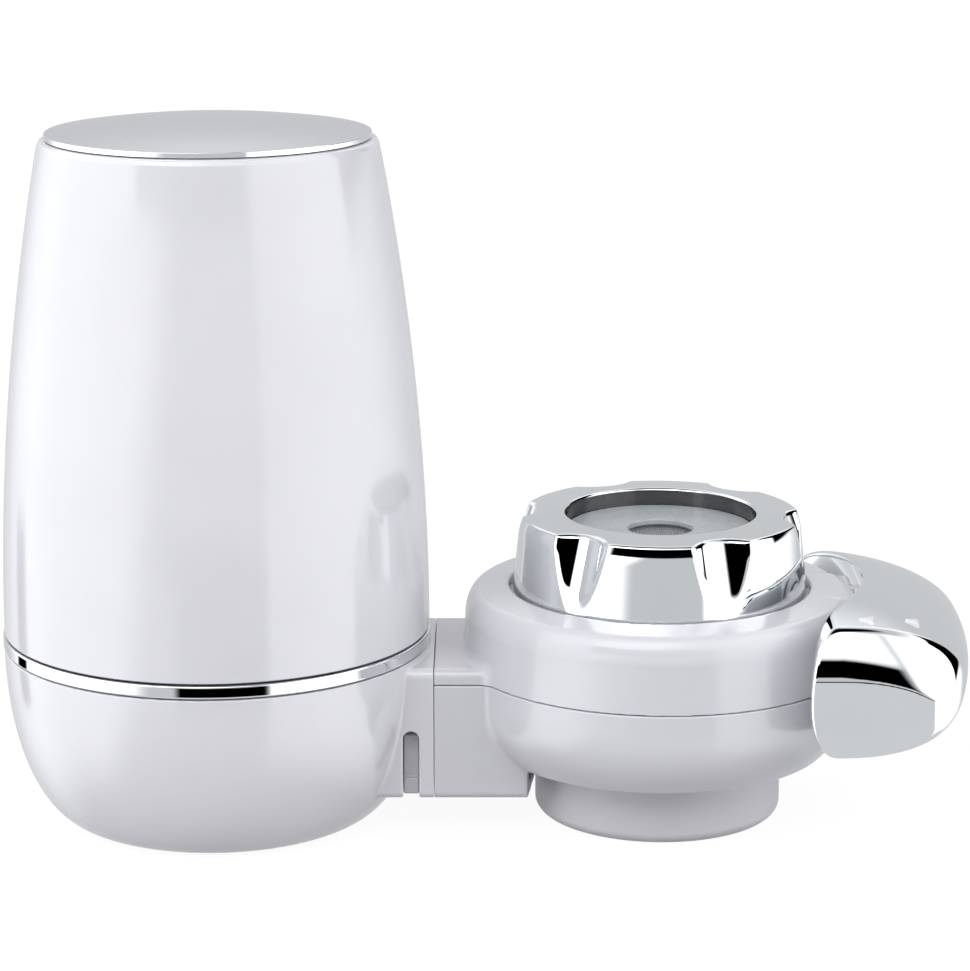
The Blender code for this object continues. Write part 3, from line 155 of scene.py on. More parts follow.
# Bracket on the cup and arm of the valve, which share one section
ARM_HALF_WIDTH = 16.7
ARM_BOTTOM = 6.6
ARM_TOP = 29.5
ARM_ROUND = 1.4
BRACKET_END = 37.5
ARM_START = BRACKET_END + JOINT
SLOT_MIDDLE = 33.65
SLOT_HALF = 1.35
SLOT_TOP = 18.6
CLIP_GAP = 0.05
CLIP_SET_BACK = 3.0
CLIP_FOOT_SET_BACK = 2.2
CLIP_FOOT_HEIGHT = 2.8
CLIP_GRIP_R = 3.3
TUBE_Y = 8.0
TUBE_Z = 14.5
TUBE_BORE_R = 4.3
TUBE_BORE_DEPTH = 4.0

# Valve housing, in heights above the foot and radii about the valve's axis
VALVE_X = 76.3
BODY_BOTTOM = 11.4
BODY_FOOT_R = 28.4
BODY_R = 33.9
BODY_ROUND_HEIGHT = 12.6
PARTING_Z = 26.8
COLLAR_SIDE_R = 33.5
COLLAR_SIDE_Z = 34.8
COLLAR_EDGE_R = 30.9
COLLAR_EDGE_Z = 39.7
COLLAR_TOP_Z = 40.4
RECESS_R = 25.95
RECESS_FLOOR_Z = 38.7
SHELL_WALL = 2.2
PIVOT_Z = 29.0
BOSS_R = 10.5
BOSS_END = 35.5
BOSS_INSIDE = 26.0
LUG_INSIDE = 22.0
ARM_INSIDE = -12.0
BORE_INSIDE = 20.0

# Swivel nut
NUT_TOP_R = 24.3
NUT_TOP_Z = 52.2
NUT_RIM_Z = 53.1
NUT_BOTTOM = 39.0
NUT_BOTTOM_R = 25.3
NUT_BORE_R = 16.3
NUT_LIP_TOP = 46.2
NUT_LIP_BOTTOM = 43.4
NUT_LIP_R = 12.7
NUT_SKIRT_BORE_R = 22.2
GASKET_SHOWN = 1.0
GASKET_SUNK = 0.2
GASKET_HOLE_R = 5.6
FLUTE_COUNT = 6
FLUTE_R = 7.0
FLUTE_DEPTH = 2.6
FLUTE_TIP_Z = 42.7
FLUTE_FIRST_DEG = -37

# Lever, in places relative to its pivot on the valve's axis
LEVER_FRONT_Y = -33.3
LEVER_BACK_Y = 28.9
LEVER_HALF_HEIGHT = 11.9
LEVER_RISE = 2.0
LEVER_MIDDLE_X = 28.0
LEVER_INNER_X = 23.0
LEVER_OUTER_X = 52.4
LEVER_OUTER_Y = 5.0
LEVER_FRONT_X = 47.7
LEVER_BACK_X = 30.0
LEVER_FRONT_CURVE = 2.4
LEVER_BACK_CURVE = 2.0
LEVER_BACK_SQUARE = 3.1
LEVER_SECTION_SQUARE = 2.28
LEVER_BACK_THINNER = 0.12
LEVER_FRONT_THINNER = 0.09
LEVER_FRONT_SINK = 0.7
LEVER_FACE_Y = -35.6
LEVER_FACE_TILT = 0.11
LEVER_FACE_TOP_Z = 4.65
LEVER_ROLL_BAND = 7.6
LEVER_ROLL_CURVE = 2.05
LEVER_ROLL_SLOPE = 2.45
LEVER_ROLL_OUTER_SLOPE = 1.5
LEVER_ROLL_OUTER_WIDTH = 16.0
LEVER_ROLL_CREASE = 0.03
LEVER_FACE_STEEPNESS = 1.15
LEVER_CORNER_BAND = 5.0
LEVER_CORNER_ROLL = 2.4
BOWL_DEPTH_X = 38.0
BOWL_SLOPE = 14.8
BOWL_TURN_R = 18.5

# Outlet
NOZZLE_R = 21.3
NOZZLE_RIM_ROUND = 2.2
NOZZLE_TOP = 11.1
NOZZLE_WALL = 2.4
NOZZLE_ROOF = 2.1
NOZZLE_NECK_R = 12.3
NOZZLE_LIP_R = 17.2
NOZZLE_LIP_HEIGHT = 1.8
SCREEN_RIM = 0.9
SCREEN_DISH = 0.2
SLEEVE_R = 7.0
SLEEVE_BORE_R = 5.9
SLEEVE_FLANGE = 0.9
MESH_PITCH = 0.32


class Value:
    """A number, colour or vector inside a finish, on which Python's operators add nodes."""

    def __init__(self, finish, socket):
        self.finish = finish
        self.socket = socket

    def __add__(self, other):
        return self.finish.maths("ADD", self, other)

    __radd__ = __add__

    def __sub__(self, other):
        return self.finish.maths("SUBTRACT", self, other)

    def __rsub__(self, other):
        return self.finish.maths("SUBTRACT", other, self)

    def __mul__(self, other):
        return self.finish.maths("MULTIPLY", self, other)

    __rmul__ = __mul__

    def ramp(self, start, end):
        """0 below start, 1 above end, with a soft way between them."""
        return self.finish.node("MapRange", {"Value": self, "From Min": start, "From Max": end},
                                {"interpolation_type": "SMOOTHSTEP"})


class Finish:
    """The node tree of one material or of the world, and the calls that add its nodes."""

    def __init__(self, owner):
        owner.use_nodes = True
        self.owner = owner
        self.tree = owner.node_tree
        self.tree.nodes.clear()

    def node(self, kind, inputs, settings=None, output=0):
        made = self.tree.nodes.new("ShaderNode" + kind)
        for name, value in (settings or {}).items():
            setattr(made, name, value)
        for name, value in inputs.items():
            if isinstance(value, Value):
                self.tree.links.new(value.socket, made.inputs[name])
            else:
                made.inputs[name].default_value = value
        return Value(self, made.outputs[output])

    def maths(self, operation, *values):
        return self.node("Math", dict(enumerate(values)), {"operation": operation})

    def place(self, kind="Object"):
        return self.node("TexCoord", {}, output=kind)

    def noise(self, scale, detail=2.0, roughness=0.5):
        return self.node("TexNoise", {
            "Vector": self.place(), "Scale": scale, "Detail": detail, "Roughness": roughness})

    def rings(self, distance, scale):
        """Uneven fine rings by a distance from the axis or along it."""
        return self.node("TexNoise", {"W": distance * 1000.0, "Scale": scale, "Detail": 3.0},
                         {"noise_dimensions": "1D"})

    def parts_of(self, vector):
        split = self.node("SeparateXYZ", {"Vector": vector}).socket.node
        return [Value(self, socket) for socket in split.outputs]

    def surface(self, share, colours, roughness, relief, depth_mm, more):
        """A surface of a colour between two, by a share, with a fine relief and what else it has."""
        first, second = [(*colour, 1.0) for colour in colours]
        inputs = {
            "Base Color": self.node("Mix", {"Factor": share, 6: first, 7: second},
                                    {"data_type": "RGBA"}, output=2),
            "Roughness": roughness,
            "Normal": self.node("Bump", {"Height": relief, "Distance": depth_mm * MM})}
        return self.end(self.node("BsdfPrincipled", {**inputs, **more}))

    def end(self, shader):
        of_world = isinstance(self.owner, bpy.types.World)
        output = self.tree.nodes.new("ShaderNodeOutput" + ("World" if of_world else "Material"))
        self.tree.links.new(shader.socket, output.inputs["Surface"])
        return self.owner


METAL = {"Metallic": 1.0}


def new_finish(name):
    return Finish(bpy.data.materials.new(name))


def gloss_plastic(name, colours, roughness, coat):
    """Moulded plastic: a faint cloud in its colour, a faint wave from the mould and soft smudges."""
    finish = new_finish(name)
    cloud, smudge, wave = finish.noise(60.0, 3.0), finish.noise(140.0, 4.0), finish.noise(320.0)
    roughness = roughness + 0.05 * smudge.ramp(0.45, 0.75)
    return finish.surface(cloud.ramp(0.35, 0.70), colours, roughness, wave, 0.006, {
        "IOR": 1.50, "Coat Weight": coat, "Coat Roughness": 0.06, "Coat IOR": 1.6})


def polished_chrome(name):
    """Chrome plate with faint smudges and the slow wave of the moulding under it."""
    finish = new_finish(name)
    smudge, wave = finish.noise(90.0, 5.0), finish.noise(55.0, 1.0)
    return finish.surface(smudge.ramp(0.40, 0.80), ((0.83, 0.85, 0.86), (0.80, 0.82, 0.83)),
                          0.025 + 0.03 * smudge.ramp(0.50, 0.80), wave, 0.004, METAL)


def spun_metal(name):
    """Satin metal with the fine rings of spinning about the filter's axis."""
    finish = new_finish(name)
    x, y, _ = finish.parts_of(finish.place())
    rings = finish.rings(finish.maths("SQRT", x * x + y * y), 6.0)
    return finish.surface(rings.ramp(0.30, 0.70), ((0.68, 0.68, 0.70), (0.72, 0.72, 0.74)),
                          0.24 + 0.08 * rings, rings, 0.002, METAL)


def bore_painted_shade(name):
    """Bored metal, darker than the plated outside as painted shade of the deep bore, with faint rings of
    the cutter.
    """
    finish = new_finish(name)
    rings = finish.rings(finish.parts_of(finish.place())[2], 5.0)
    return finish.surface(rings, ((0.13, 0.13, 0.13), (0.17, 0.17, 0.17)), 0.12 + 0.06 * rings,
                          rings, 0.002, METAL)


def woven_mesh(name):
    """Fine steel mesh: wires in two directions over dark gaps."""
    finish = new_finish(name)
    x, y, _ = finish.parts_of(finish.place())
    turns = 2 * math.pi / (MESH_PITCH * MM)
    wires = finish.maths("MAXIMUM", *[finish.maths("SINE", side * turns) for side in (x, y)])
    return finish.surface(wires.ramp(-0.2, 0.6), ((0.10, 0.10, 0.11), (0.50, 0.51, 0.54)),
                          0.35 + 0.1 * finish.noise(900.0), wires, 0.05, {"Metallic": 0.8})


def clear_silicone(name):
    """Cloudy silicone that lets some of what lies under it through."""
    finish = new_finish(name)
    cloud = finish.noise(220.0, 3.0)
    return finish.surface(cloud.ramp(0.3, 0.7), ((0.62, 0.65, 0.66), (0.54, 0.57, 0.59)),
                          0.22 + 0.10 * cloud, cloud, 0.02, {"Alpha": 0.62 + 0.12 * cloud})


def grained(name, cloud, ramp, colours, roughness, spread, grain, depth_mm, more):
    """A surface clouded between two colours by one noise and grained by another. Each noise is its
    scale, detail and roughness, and the grain also spreads the surface's roughness."""
    finish = new_finish(name)
    share, grain = finish.noise(*cloud), finish.noise(*grain)
    if ramp:
        share = share.ramp(*ramp)
    return finish.surface(share, colours, roughness + spread * grain, grain, depth_mm, more)


def granular_carbon(name):
    """Pressed black grains."""
    finish = new_finish(name)
    grains = finish.node("TexVoronoi", {"Vector": finish.place(), "Scale": 1300.0})
    return finish.surface(grains.ramp(0.1, 0.7), ((0.035, 0.035, 0.036), (0.012, 0.012, 0.012)),
                          0.55 + 0.35 * grains, grains, 0.25, {})


WHITE = gloss_plastic("white_gloss_plastic", ((0.742, 0.732, 0.762), (0.722, 0.712, 0.742)), 0.18, 0.6)
PALE = gloss_plastic("pale_grey_plastic", ((0.690, 0.680, 0.713), (0.670, 0.660, 0.693)), 0.22, 0.45)
# A darker grey plastic; on the clip it stands for painted shade of the slot.
MATTE = gloss_plastic("matte_grey_plastic", ((0.640, 0.632, 0.660), (0.620, 0.612, 0.640)), 0.38, 0.0)
# Darker metal for the nut's bore: painted shade of the recess.
BORE = bore_painted_shade("bore_painted_shade_metal")
MESH = woven_mesh("woven_steel_mesh")
CHROME = polished_chrome("polished_chrome")

FINISH_OF_SLOT = {
    "white_plastic": WHITE,
    "pale_plastic": PALE,
    "natural_plastic": grained("natural_plastic", (80.0,), (0.35, 0.70),
                               ((0.70, 0.70, 0.68), (0.66, 0.66, 0.65)), 0.34, 0.10, (900.0,), 0.01, {}),
    "chrome": CHROME,
    "satin_metal": spun_metal("spun_satin_metal"),
    "steel": grained("stainless_steel", (1400.0, 3.0), None, ((0.52, 0.52, 0.53), (0.62, 0.62, 0.63)),
                     0.24, 0.12, (1400.0, 3.0), 0.004, METAL),
    "rubber": grained("seal_rubber", (700.0, 3.0), None, ((0.022, 0.022, 0.023), (0.040, 0.040, 0.041)),
                      0.48, 0.20, (700.0, 3.0), 0.01, {}),
    "clear_silicone": clear_silicone("clear_silicone"),
    "ceramic": grained("fired_ceramic", (45.0, 4.0), (0.35, 0.70), ((0.86, 0.84, 0.78), (0.80, 0.77, 0.70)),
                       0.78, 0.15, (1800.0, 4.0, 0.7), 0.05, {}),
    "carbon": granular_carbon("granular_carbon"),
    "felt": grained("white_felt", (2600.0, 5.0, 0.8), (0.3, 0.7), ((0.72, 0.72, 0.70), (0.86, 0.86, 0.84)),
                    0.95, 0.0, (2600.0, 5.0, 0.8), 0.12, {}),
}

record = frame["record"]
SLOT_OF_NODE = {part["node"]: part["material_slot"] for part in record["subparts"]}
BODY_OF_NODE = {node: body for body, nodes in record["behaviour"]["bodies"].items() for node in nodes}


def new_piece(name, points, faces, normals, node, replace=True, finish=None):
    """A smooth mesh from points in millimetres, which stands for a construction piece."""
    mesh = bpy.data.meshes.new(name)
    mesh.from_pydata((np.asarray(points) * MM).tolist(), [], [list(map(int, face)) for face in faces])
    mesh.shade_smooth()
    if normals is not None:
        mesh.normals_split_custom_set_from_vertices(np.asarray(normals).tolist())
    piece = bpy.data.objects.new(name, mesh)
    bpy.context.scene.collection.objects.link(piece)
    slot = SLOT_OF_NODE[node]
    mesh.materials.append(finish or FINISH_OF_SLOT[slot])
    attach(piece, BODY_OF_NODE[node])
    if replace:
        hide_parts(node)
    return piece


# Turned pieces

def rounded(corners):
    """Points and normals of a closed outline. Its corners (radius, height, round) become arcs, and
    a corner with no round is one point of a smooth curve."""
    points, normals = [], []
    for index, (r, z, fillet) in enumerate(corners):
        here = np.array((r, z), float)
        before = np.array(corners[index - 1][:2], float) - here
        after = np.array(corners[(index + 1) % len(corners)][:2], float) - here
        room = 0.49 * min(np.linalg.norm(before), np.linalg.norm(after))
        before /= np.linalg.norm(before)
        after /= np.linalg.norm(after)
        start_normal = np.array((before[1], -before[0]))
        end_normal = np.array((-after[1], after[0]))
        if not fillet:
            points.append(here)
            normals.append((start_normal + end_normal) / np.linalg.norm(start_normal + end_normal))
            continue
        half = math.acos(max(-1.0, min(1.0, float(before @ after)))) / 2
        fillet = min(fillet, room * math.tan(half))
        turn = math.pi - 2 * half
        outward = 1.0 if before[0] * after[1] - before[1] * after[0] > 0 else -1.0
        centre = here + (before + after) / np.linalg.norm(before + after) * fillet / math.sin(half)
        steps = max(1, math.ceil(math.degrees(turn) / ARC_STEP_DEG))
        for step in range(steps + 1):
            share = step / steps
            normal = start_normal * math.sin((1 - share) * turn) + end_normal * math.sin(share * turn)
            normal /= np.linalg.norm(normal)
            points.append(centre + outward * normal * fillet)
            normals.append(normal)
    return points, normals


def thread_dip(angle, height, low_z, high_z):
    """Depth of a rounded thread, cut into a wall between two heights and fading at both ends."""
    turns = (height - low_z) / THREAD_PITCH - angle / (2 * np.pi)
    rise = 0.5 + 0.5 * np.clip(THREAD_FLANK * np.cos(2 * np.pi * turns), -1, 1)
    fade = np.clip(np.minimum(height - low_z, high_z - height) / THREAD_FADE, 0, 1)
    return THREAD_DEPTH * (1 - rise) * fade


def turn(points, normals, steps, centre=(0.0, 0.0), thread=None):
    """Mesh data of an outline, which runs down its outer side, turned about an upright axis. The
    thread is (wall radius, low height, high height, side), with side 1 outside and -1 inside."""
    angles = np.linspace(0, 2 * np.pi, steps, endpoint=False)[:, None]
    height = np.array([point[1] for point in points])[None, :]
    radius = np.array([point[0] for point in points])[None, :] + 0 * angles
    out, up = [np.array([normal[axis] for normal in normals])[None, :] + 0 * angles for axis in (0, 1)]
    aside = 0 * radius
    if thread:
        wall_r, low_z, high_z, side = thread
        on_wall = (np.abs(radius - wall_r) < 0.01) & (height > low_z) & (height < high_z)
        dip = thread_dip(angles, height, low_z, high_z)
        by_height = (thread_dip(angles, height + 0.02, low_z, high_z) - dip) / 0.02
        by_angle = (thread_dip(angles + 0.001, height, low_z, high_z) - dip) / 0.001
        radius = radius - side * dip * on_wall
        up = np.where(on_wall, by_height, up)
        aside = np.where(on_wall, by_angle / wall_r, 0)
    length = np.sqrt(out ** 2 + up ** 2 + aside ** 2)
    across, along = np.cos(angles), np.sin(angles)
    verts = np.stack([centre[0] + across * radius, centre[1] + along * radius, 0 * angles + height],
                     axis=-1)
    directions = np.stack([across * out - along * aside, along * out + across * aside, up], axis=-1)
    directions /= length[..., None]
    count = len(points)
    faces = []
    for i in range(steps):
        j = (i + 1) % steps
        for k in range(count):
            following = (k + 1) % count
            faces.append((i * count + following, j * count + following, j * count + k, i * count + k))
    return verts.reshape(-1, 3), faces, directions.reshape(-1, 3)


def turned_piece(name, corners, node, steps=TURN_STEPS, centre=(0.0, 0.0), finish=None, thread=None):
    """A piece turned from the corners of its outline."""
    points, normals = rounded(corners)
    return new_piece(name, *turn(points, normals, steps, centre, thread), node, finish=finish)


def second_finish(piece, finish, centre_x, chosen):
    """Gives another finish to the faces chosen by their radius about an axis and their height."""
    mesh = piece.data
    mesh.materials.append(finish)
    middles = np.empty(len(mesh.polygons) * 3)
    mesh.polygons.foreach_get("center", middles)
    x, y, z = middles.reshape(-1, 3).T / MM
    picks = chosen(np.hypot(x - centre_x, y), z).astype(np.int32)
    mesh.polygons.foreach_set("material_index", picks)


# Skinned pieces

def round_min(a, b, fillet):
    """Union of two distances, with a fillet in the corner between them."""
    in_corner = np.hypot(np.maximum(fillet - a, 0), np.maximum(fillet - b, 0))
    return np.maximum(fillet, np.minimum(a, b)) - in_corner


def round_max(a, b, edge):
    """What two distances share, with a rounded edge."""
    return -round_min(-a, -b, edge)


def rounded_foot(radius, height, foot_r, side_r, round_height):
    """Distance to an upright wall that curves into a flat foot at height 0."""
    across = np.maximum(radius - foot_r, 0) / (side_r - foot_r)
    down = np.maximum(round_height - height, 0) / round_height
    reach = np.hypot(across, down)
    steepness = np.hypot(across / (side_r - foot_r), down / round_height) / np.maximum(reach, 1e-6)
    return (reach - 1) / np.maximum(steepness, 0.03)


def arm_section(y, z):
    """Distance to the rounded section that the bracket and the arm share."""
    middle = (ARM_BOTTOM + ARM_TOP) / 2
    across = np.abs(y) - (ARM_HALF_WIDTH - ARM_ROUND)
    up = np.abs(z - middle) - (ARM_TOP - middle - ARM_ROUND)
    return (np.hypot(np.maximum(across, 0), np.maximum(up, 0)) + np.minimum(np.maximum(across, up), 0)
            - ARM_ROUND)


def levels(start, end, step, fine=()):
    """Grid places from start to end, closer together near the fine (place, step) pairs."""
    places = [start]
    while places[-1] < end:
        here = places[-1]
        width = step
        for place, fine_step in fine:
            width = min(width, max(fine_step, 0.25 * abs(here - place)))
        places.append(here + width)
    return np.array(places)


def slope(field, points, reach=0.01):
    """Direction in which a field grows, by small steps along each axis."""
    return np.stack([(field(points + step) - field(points - step)) / (2 * reach)
                     for step in np.eye(3) * reach], axis=-1)


def skin(field, grid, wrap=False):
    """Net of quads where a field crosses zero, with its points moved onto the surface."""
    value = field(grid)
    cells = [value.shape[0] - (0 if wrap else 1), value.shape[1] - 1, value.shape[2] - 1]
    total = np.zeros((*cells, 3))
    count = np.zeros(cells)
    edges = []
    for axis in range(3):
        if axis == 0 and wrap:
            start, end = value, np.roll(value, -1, axis=0)
            first, last = grid, np.roll(grid, -1, axis=0)
        else:
            before = [slice(None)] * 3
            after = [slice(None)] * 3
            before[axis], after[axis] = slice(None, -1), slice(1, None)
            start, end = value[tuple(before)], value[tuple(after)]
            first, last = grid[tuple(before)], grid[tuple(after)]
        found = np.nonzero((start < 0) != (end < 0))
        share = (start[found] / (start[found] - end[found]))[:, None]
        crossing = first[found] * (1 - share) + last[found] * share
        round_edge = []
        for back_one, back_two in ((1, 1), (0, 1), (0, 0), (1, 0)):
            cell = [found[0].copy(), found[1].copy(), found[2].copy()]
            cell[(axis + 1) % 3] -= back_one
            cell[(axis + 2) % 3] -= back_two
            if wrap:
                cell[0] %= cells[0]
            cell = tuple(cell)
            np.add.at(total, cell, crossing)
            np.add.at(count, cell, 1)
            round_edge.append(cell)
        edges.append((round_edge, (start[found] < 0) != wrap))
    used = count > 0
    number = np.full(cells, -1)
    number[used] = np.arange(used.sum())
    points = total[used] / count[used][:, None]
    faces = []
    for round_edge, outward in edges:
        quads = np.stack([number[cell] for cell in round_edge], axis=-1)
        quads[~outward] = quads[~outward][:, ::-1]
        faces.append(quads)
    for _ in range(5):
        way = slope(field, points)
        step = field(points)[:, None] * way / np.maximum((way ** 2).sum(-1, keepdims=True), 0.05)
        points = points - np.clip(step, -0.25, 0.25)
    way = slope(field, points)
    way /= np.maximum(np.linalg.norm(way, axis=-1, keepdims=True), 1e-9)
    return points, np.concatenate(faces).tolist(), way


def box_grid(xs, ys, zs):
    """Grid points of a box."""
    return np.stack(np.meshgrid(xs, ys, zs, indexing="ij"), axis=-1)


def round_grid(angles, radii, heights, centre_x):
    """Grid points round an upright axis."""
    angle, radius, height = np.meshgrid(angles, radii, heights, indexing="ij")
    return np.stack([centre_x + radius * np.cos(angle), radius * np.sin(angle), height], axis=-1)


# Filter unit

BRACKET_INSIDE = 4.0
BRACKET_FILLET = 0.4
END_EDGE = 0.15
SLOT_EDGE = 0.4
BOSS_START = 24.0
TUBE_BORE_START = 26.0
TUBE_BOSS_R = 6.3


def cup_field(p):
    """Distance to the cup: bowl and bracket outside, cartridge socket and tube bosses inside."""
    x, y, z = p[..., 0], p[..., 1], p[..., 2]
    radius = np.hypot(x, y)
    bowl = round_max(rounded_foot(radius, z, CUP_FOOT_R, CUP_R, CUP_HEIGHT), z - CUP_HEIGHT, END_EDGE)
    bracket = round_max(arm_section(y, z), x - BRACKET_END, END_EDGE)
    bracket = np.maximum(bracket, CUP_FOOT_R - BRACKET_INSIDE - x)
    solid = round_min(bowl, bracket, BRACKET_FILLET)
    cavity = rounded_foot(radius, z - CUP_FLOOR, CAVITY_FOOT_R, NECK_R - NECK_WALL, CAVITY_ROUND)
    solid = np.maximum(solid, -cavity)
    socket = np.maximum(radius - SOCKET_R, z - SOCKET_TOP)
    solid = np.minimum(solid, np.maximum(socket, CUP_FLOOR - OVERLAP - z))
    solid = np.maximum(solid, -np.maximum(radius - SOCKET_BORE_R, SOCKET_FLOOR - z))
    from_tube = np.hypot(np.abs(y) - TUBE_Y, z - TUBE_Z)
    boss = np.maximum(from_tube - TUBE_BOSS_R, np.maximum(BOSS_START - x, x - NECK_R))
    solid = np.minimum(solid, boss)
    solid = np.maximum(solid, -np.maximum(from_tube - TUBE_BORE_R, TUBE_BORE_START - x))
    slot = np.hypot(x - SLOT_MIDDLE, np.maximum(z - SLOT_TOP + SLOT_HALF, 0)) - SLOT_HALF
    return round_max(solid, -slot, SLOT_EDGE)


def make_cup():
    edges = [(SLOT_MIDDLE - SLOT_HALF, 0.15), (SLOT_MIDDLE + SLOT_HALF, 0.15), (BRACKET_END, 0.12)]
    xs = levels(-CUP_R - 1, BRACKET_END + 1, CUP_STEP, edges)
    ys = levels(-CUP_R - 1, CUP_R + 1, CUP_STEP, [(-ARM_HALF_WIDTH, 0.3), (ARM_HALF_WIDTH, 0.3)])
    zs = levels(-1, CUP_HEIGHT + 1, 0.6, [(ARM_BOTTOM, 0.2), (SLOT_TOP, 0.2), (CUP_HEIGHT, 0.15)])
    new_piece("cup", *skin(cup_field, box_grid(xs, ys, zs)), "filter_cup")


def make_clip():
    """Fork clip that fills the slot, with a foot that stands out a little."""
    lowest, highest = low("connector_clip"), high("connector_clip")
    half_x = SLOT_HALF - CLIP_GAP
    middle_y = (lowest.y + highest.y) / 2

    def field(p):
        x, y, z = np.abs(p[..., 0] - SLOT_MIDDLE), np.abs(p[..., 1] - middle_y), p[..., 2]
        legs = round_max(x - half_x, y - ARM_HALF_WIDTH + CLIP_SET_BACK, FINE)
        legs = round_max(legs, z - highest.z, SOFT)
        foot = round_max(x - half_x, y - ARM_HALF_WIDTH + CLIP_FOOT_SET_BACK, SOFT)
        foot = round_max(foot, z - lowest.z - CLIP_FOOT_HEIGHT, FINE)
        solid = round_max(np.minimum(legs, foot), lowest.z - z, FINE)
        grip = np.where(z > TUBE_Z, np.abs(y - TUBE_Y), np.hypot(y - TUBE_Y, z - TUBE_Z)) - CLIP_GRIP_R
        return np.maximum(solid, -grip)

    xs = levels(SLOT_MIDDLE - half_x - 0.5, SLOT_MIDDLE + half_x + 0.5, 0.2)
    ys = levels(lowest.y - 1, highest.y + 1, 0.4)
    zs = levels(lowest.z - 0.5, highest.z + 0.5, 0.25)
    # The darker matte grey instead of the clip's own finish: painted shade of the slot it sits in.
    new_piece("clip", *skin(field, box_grid(xs, ys, zs)), "connector_clip", finish=MATTE)


def wall_points(radius, from_z, to_z, count):
    """Points of a straight wall, close enough together for its thread."""
    return [(radius, z, 0.0) for z in np.linspace(from_z, to_z, count)]


def make_neck():
    """Neck of the cup: a rounded rim, the seal's groove and a thread for the cover."""
    seal_z = NECK_TOP - SEAL_BELOW_RIM
    groove_half = SEAL_WIRE_R + CLEAR
    groove_r = NECK_R - 2 * SEAL_WIRE_R
    inner = NECK_R - NECK_WALL
    groove_top, groove_foot = seal_z + groove_half, seal_z - groove_half
    thread_top = groove_foot - NECK_THREAD_RUNOUT
    thread_foot = CUP_HEIGHT + NECK_THREAD_START
    foot = CUP_HEIGHT - NECK_SUNK
    corners = [(inner, NECK_TOP, 0.5), (NECK_R, NECK_TOP, SOFT), (NECK_R, groove_top, 0.15),
               (groove_r, groove_top, 0.15), (groove_r, groove_foot, 0.15), (NECK_R, groove_foot, 0.15)]
    corners += wall_points(NECK_R, thread_top, thread_foot, 30)
    points, normals = rounded(corners + [(NECK_R, foot, SHARP), (inner, foot, SHARP)])
    thread = (NECK_R, thread_foot, thread_top, 1)
    new_piece("cup_neck", *turn(points, normals, TURN_STEPS, thread=thread), "filter_cup")


def make_trim_ring():
    foot, top, _ = ends("trim_ring")
    inner = NECK_R + 2 * CLEAR
    corners = [(inner, top, 0.15), (RING_R, top, 0.35), (RING_R, foot, 0.35), (inner, foot, 0.15)]
    turned_piece("chrome_ring", corners, "trim_ring")


def cover_wall(share, inset=0.0):
    """Point of the tapered wall at a share of its height, a wall's inset further in."""
    radius = COVER_R - (COVER_R - COVER_TOP_R) * share ** COVER_TAPER_POWER
    return (radius - inset, COVER_BOTTOM + COVER_HEIGHT * share, 0.0)


def dome(radius, edge_z, fillet=0.0):
    """Point of the plate's dome, over the height of its edge."""
    return (radius, edge_z + PLATE_DOME * (1 - (radius / PLATE_R) ** 2), fillet)


def make_cover():
    """Tall tapered cover, with a soft shoulder round the seat of the top plate."""
    seat_r = COVER_TOP_R - COVER_LIP
    seat_z = RIM_Z - PLATE_THICKNESS - CLEAR
    corners = [dome(COVER_CENTRE_R, seat_z, 0.05)]
    corners += [dome(seat_r * share, seat_z) for share in (0.25, 0.5, 0.75)]
    lip_z = RIM_Z - RIM_SHOWS
    corners += [(seat_r, seat_z, SHARP), (seat_r, lip_z, FINE), (COVER_TOP_R - 0.3, lip_z - 0.1, 0.6),
                (COVER_TOP_R + 0.05, COVER_TOP - 0.6, 1.2)]
    corners += [cover_wall(index / COVER_STEPS) for index in range(COVER_STEPS - 1, 0, -1)]
    thread_r = NECK_R + 2 * CLEAR
    thread_foot, thread_top = COVER_BOTTOM + COVER_THREAD_START, COVER_BOTTOM + COVER_THREAD_END
    corners += [(COVER_R, COVER_BOTTOM, SOFT), (thread_r, COVER_BOTTOM, SOFT)]
    corners += wall_points(thread_r, thread_foot, thread_top, 34)
    corners.append((thread_r, COVER_BOTTOM + COVER_SOCKET_DEPTH, FINE))
    corners += [cover_wall(index / COVER_INNER_STEPS, COVER_WALL) for index in range(10, 23, 3)]
    ceiling_r = COVER_TOP_R - COVER_WALL - COVER_LIP
    ceiling_z = seat_z - COVER_ROOF
    corners.append((ceiling_r, ceiling_z, 1.0))
    corners += [dome(ceiling_r * share, ceiling_z) for share in (0.7, 0.35)]
    corners.append(dome(COVER_CENTRE_R, ceiling_z, 0.05))
    turned_piece("cover", corners, "filter_cover", thread=(thread_r, thread_foot, thread_top, -1))


def make_top_plate():
    """Thin domed disc with a rolled rim."""
    under_z = RIM_Z - PLATE_THICKNESS
    corners = [dome(CENTRE_R, RIM_Z, 0.01)]
    corners += [dome(PLATE_R * i / PLATE_STEPS, RIM_Z) for i in range(1, PLATE_STEPS)]
    corners += [(PLATE_SHOWN_R, RIM_Z, 0.15), (PLATE_SHOWN_R, under_z - 0.1, SHARP)]
    corners += [dome(PLATE_R * i / PLATE_STEPS, under_z) for i in range(PLATE_STEPS - 2, 0, -2)]
    corners.append(dome(CENTRE_R, under_z, 0.01))
    plate = turned_piece("top_disc", corners, "top_plate")
    second_finish(plate, CHROME, 0.0, lambda radius, z: radius > PLATE_SHOWN_R - 0.14)


def make_cover_seal():
    _, top, edge = ends("cover_seal")
    corners = []
    for step in range(SEAL_WIRE_STEPS):
        angle = math.pi / 2 - 2 * math.pi * step / SEAL_WIRE_STEPS
        corners.append((edge - SEAL_WIRE_R * (1 - math.cos(angle)),
                        top - SEAL_WIRE_R * (1 - math.sin(angle)), 0.0))
    turned_piece("cover_seal_ring", corners, "cover_seal")


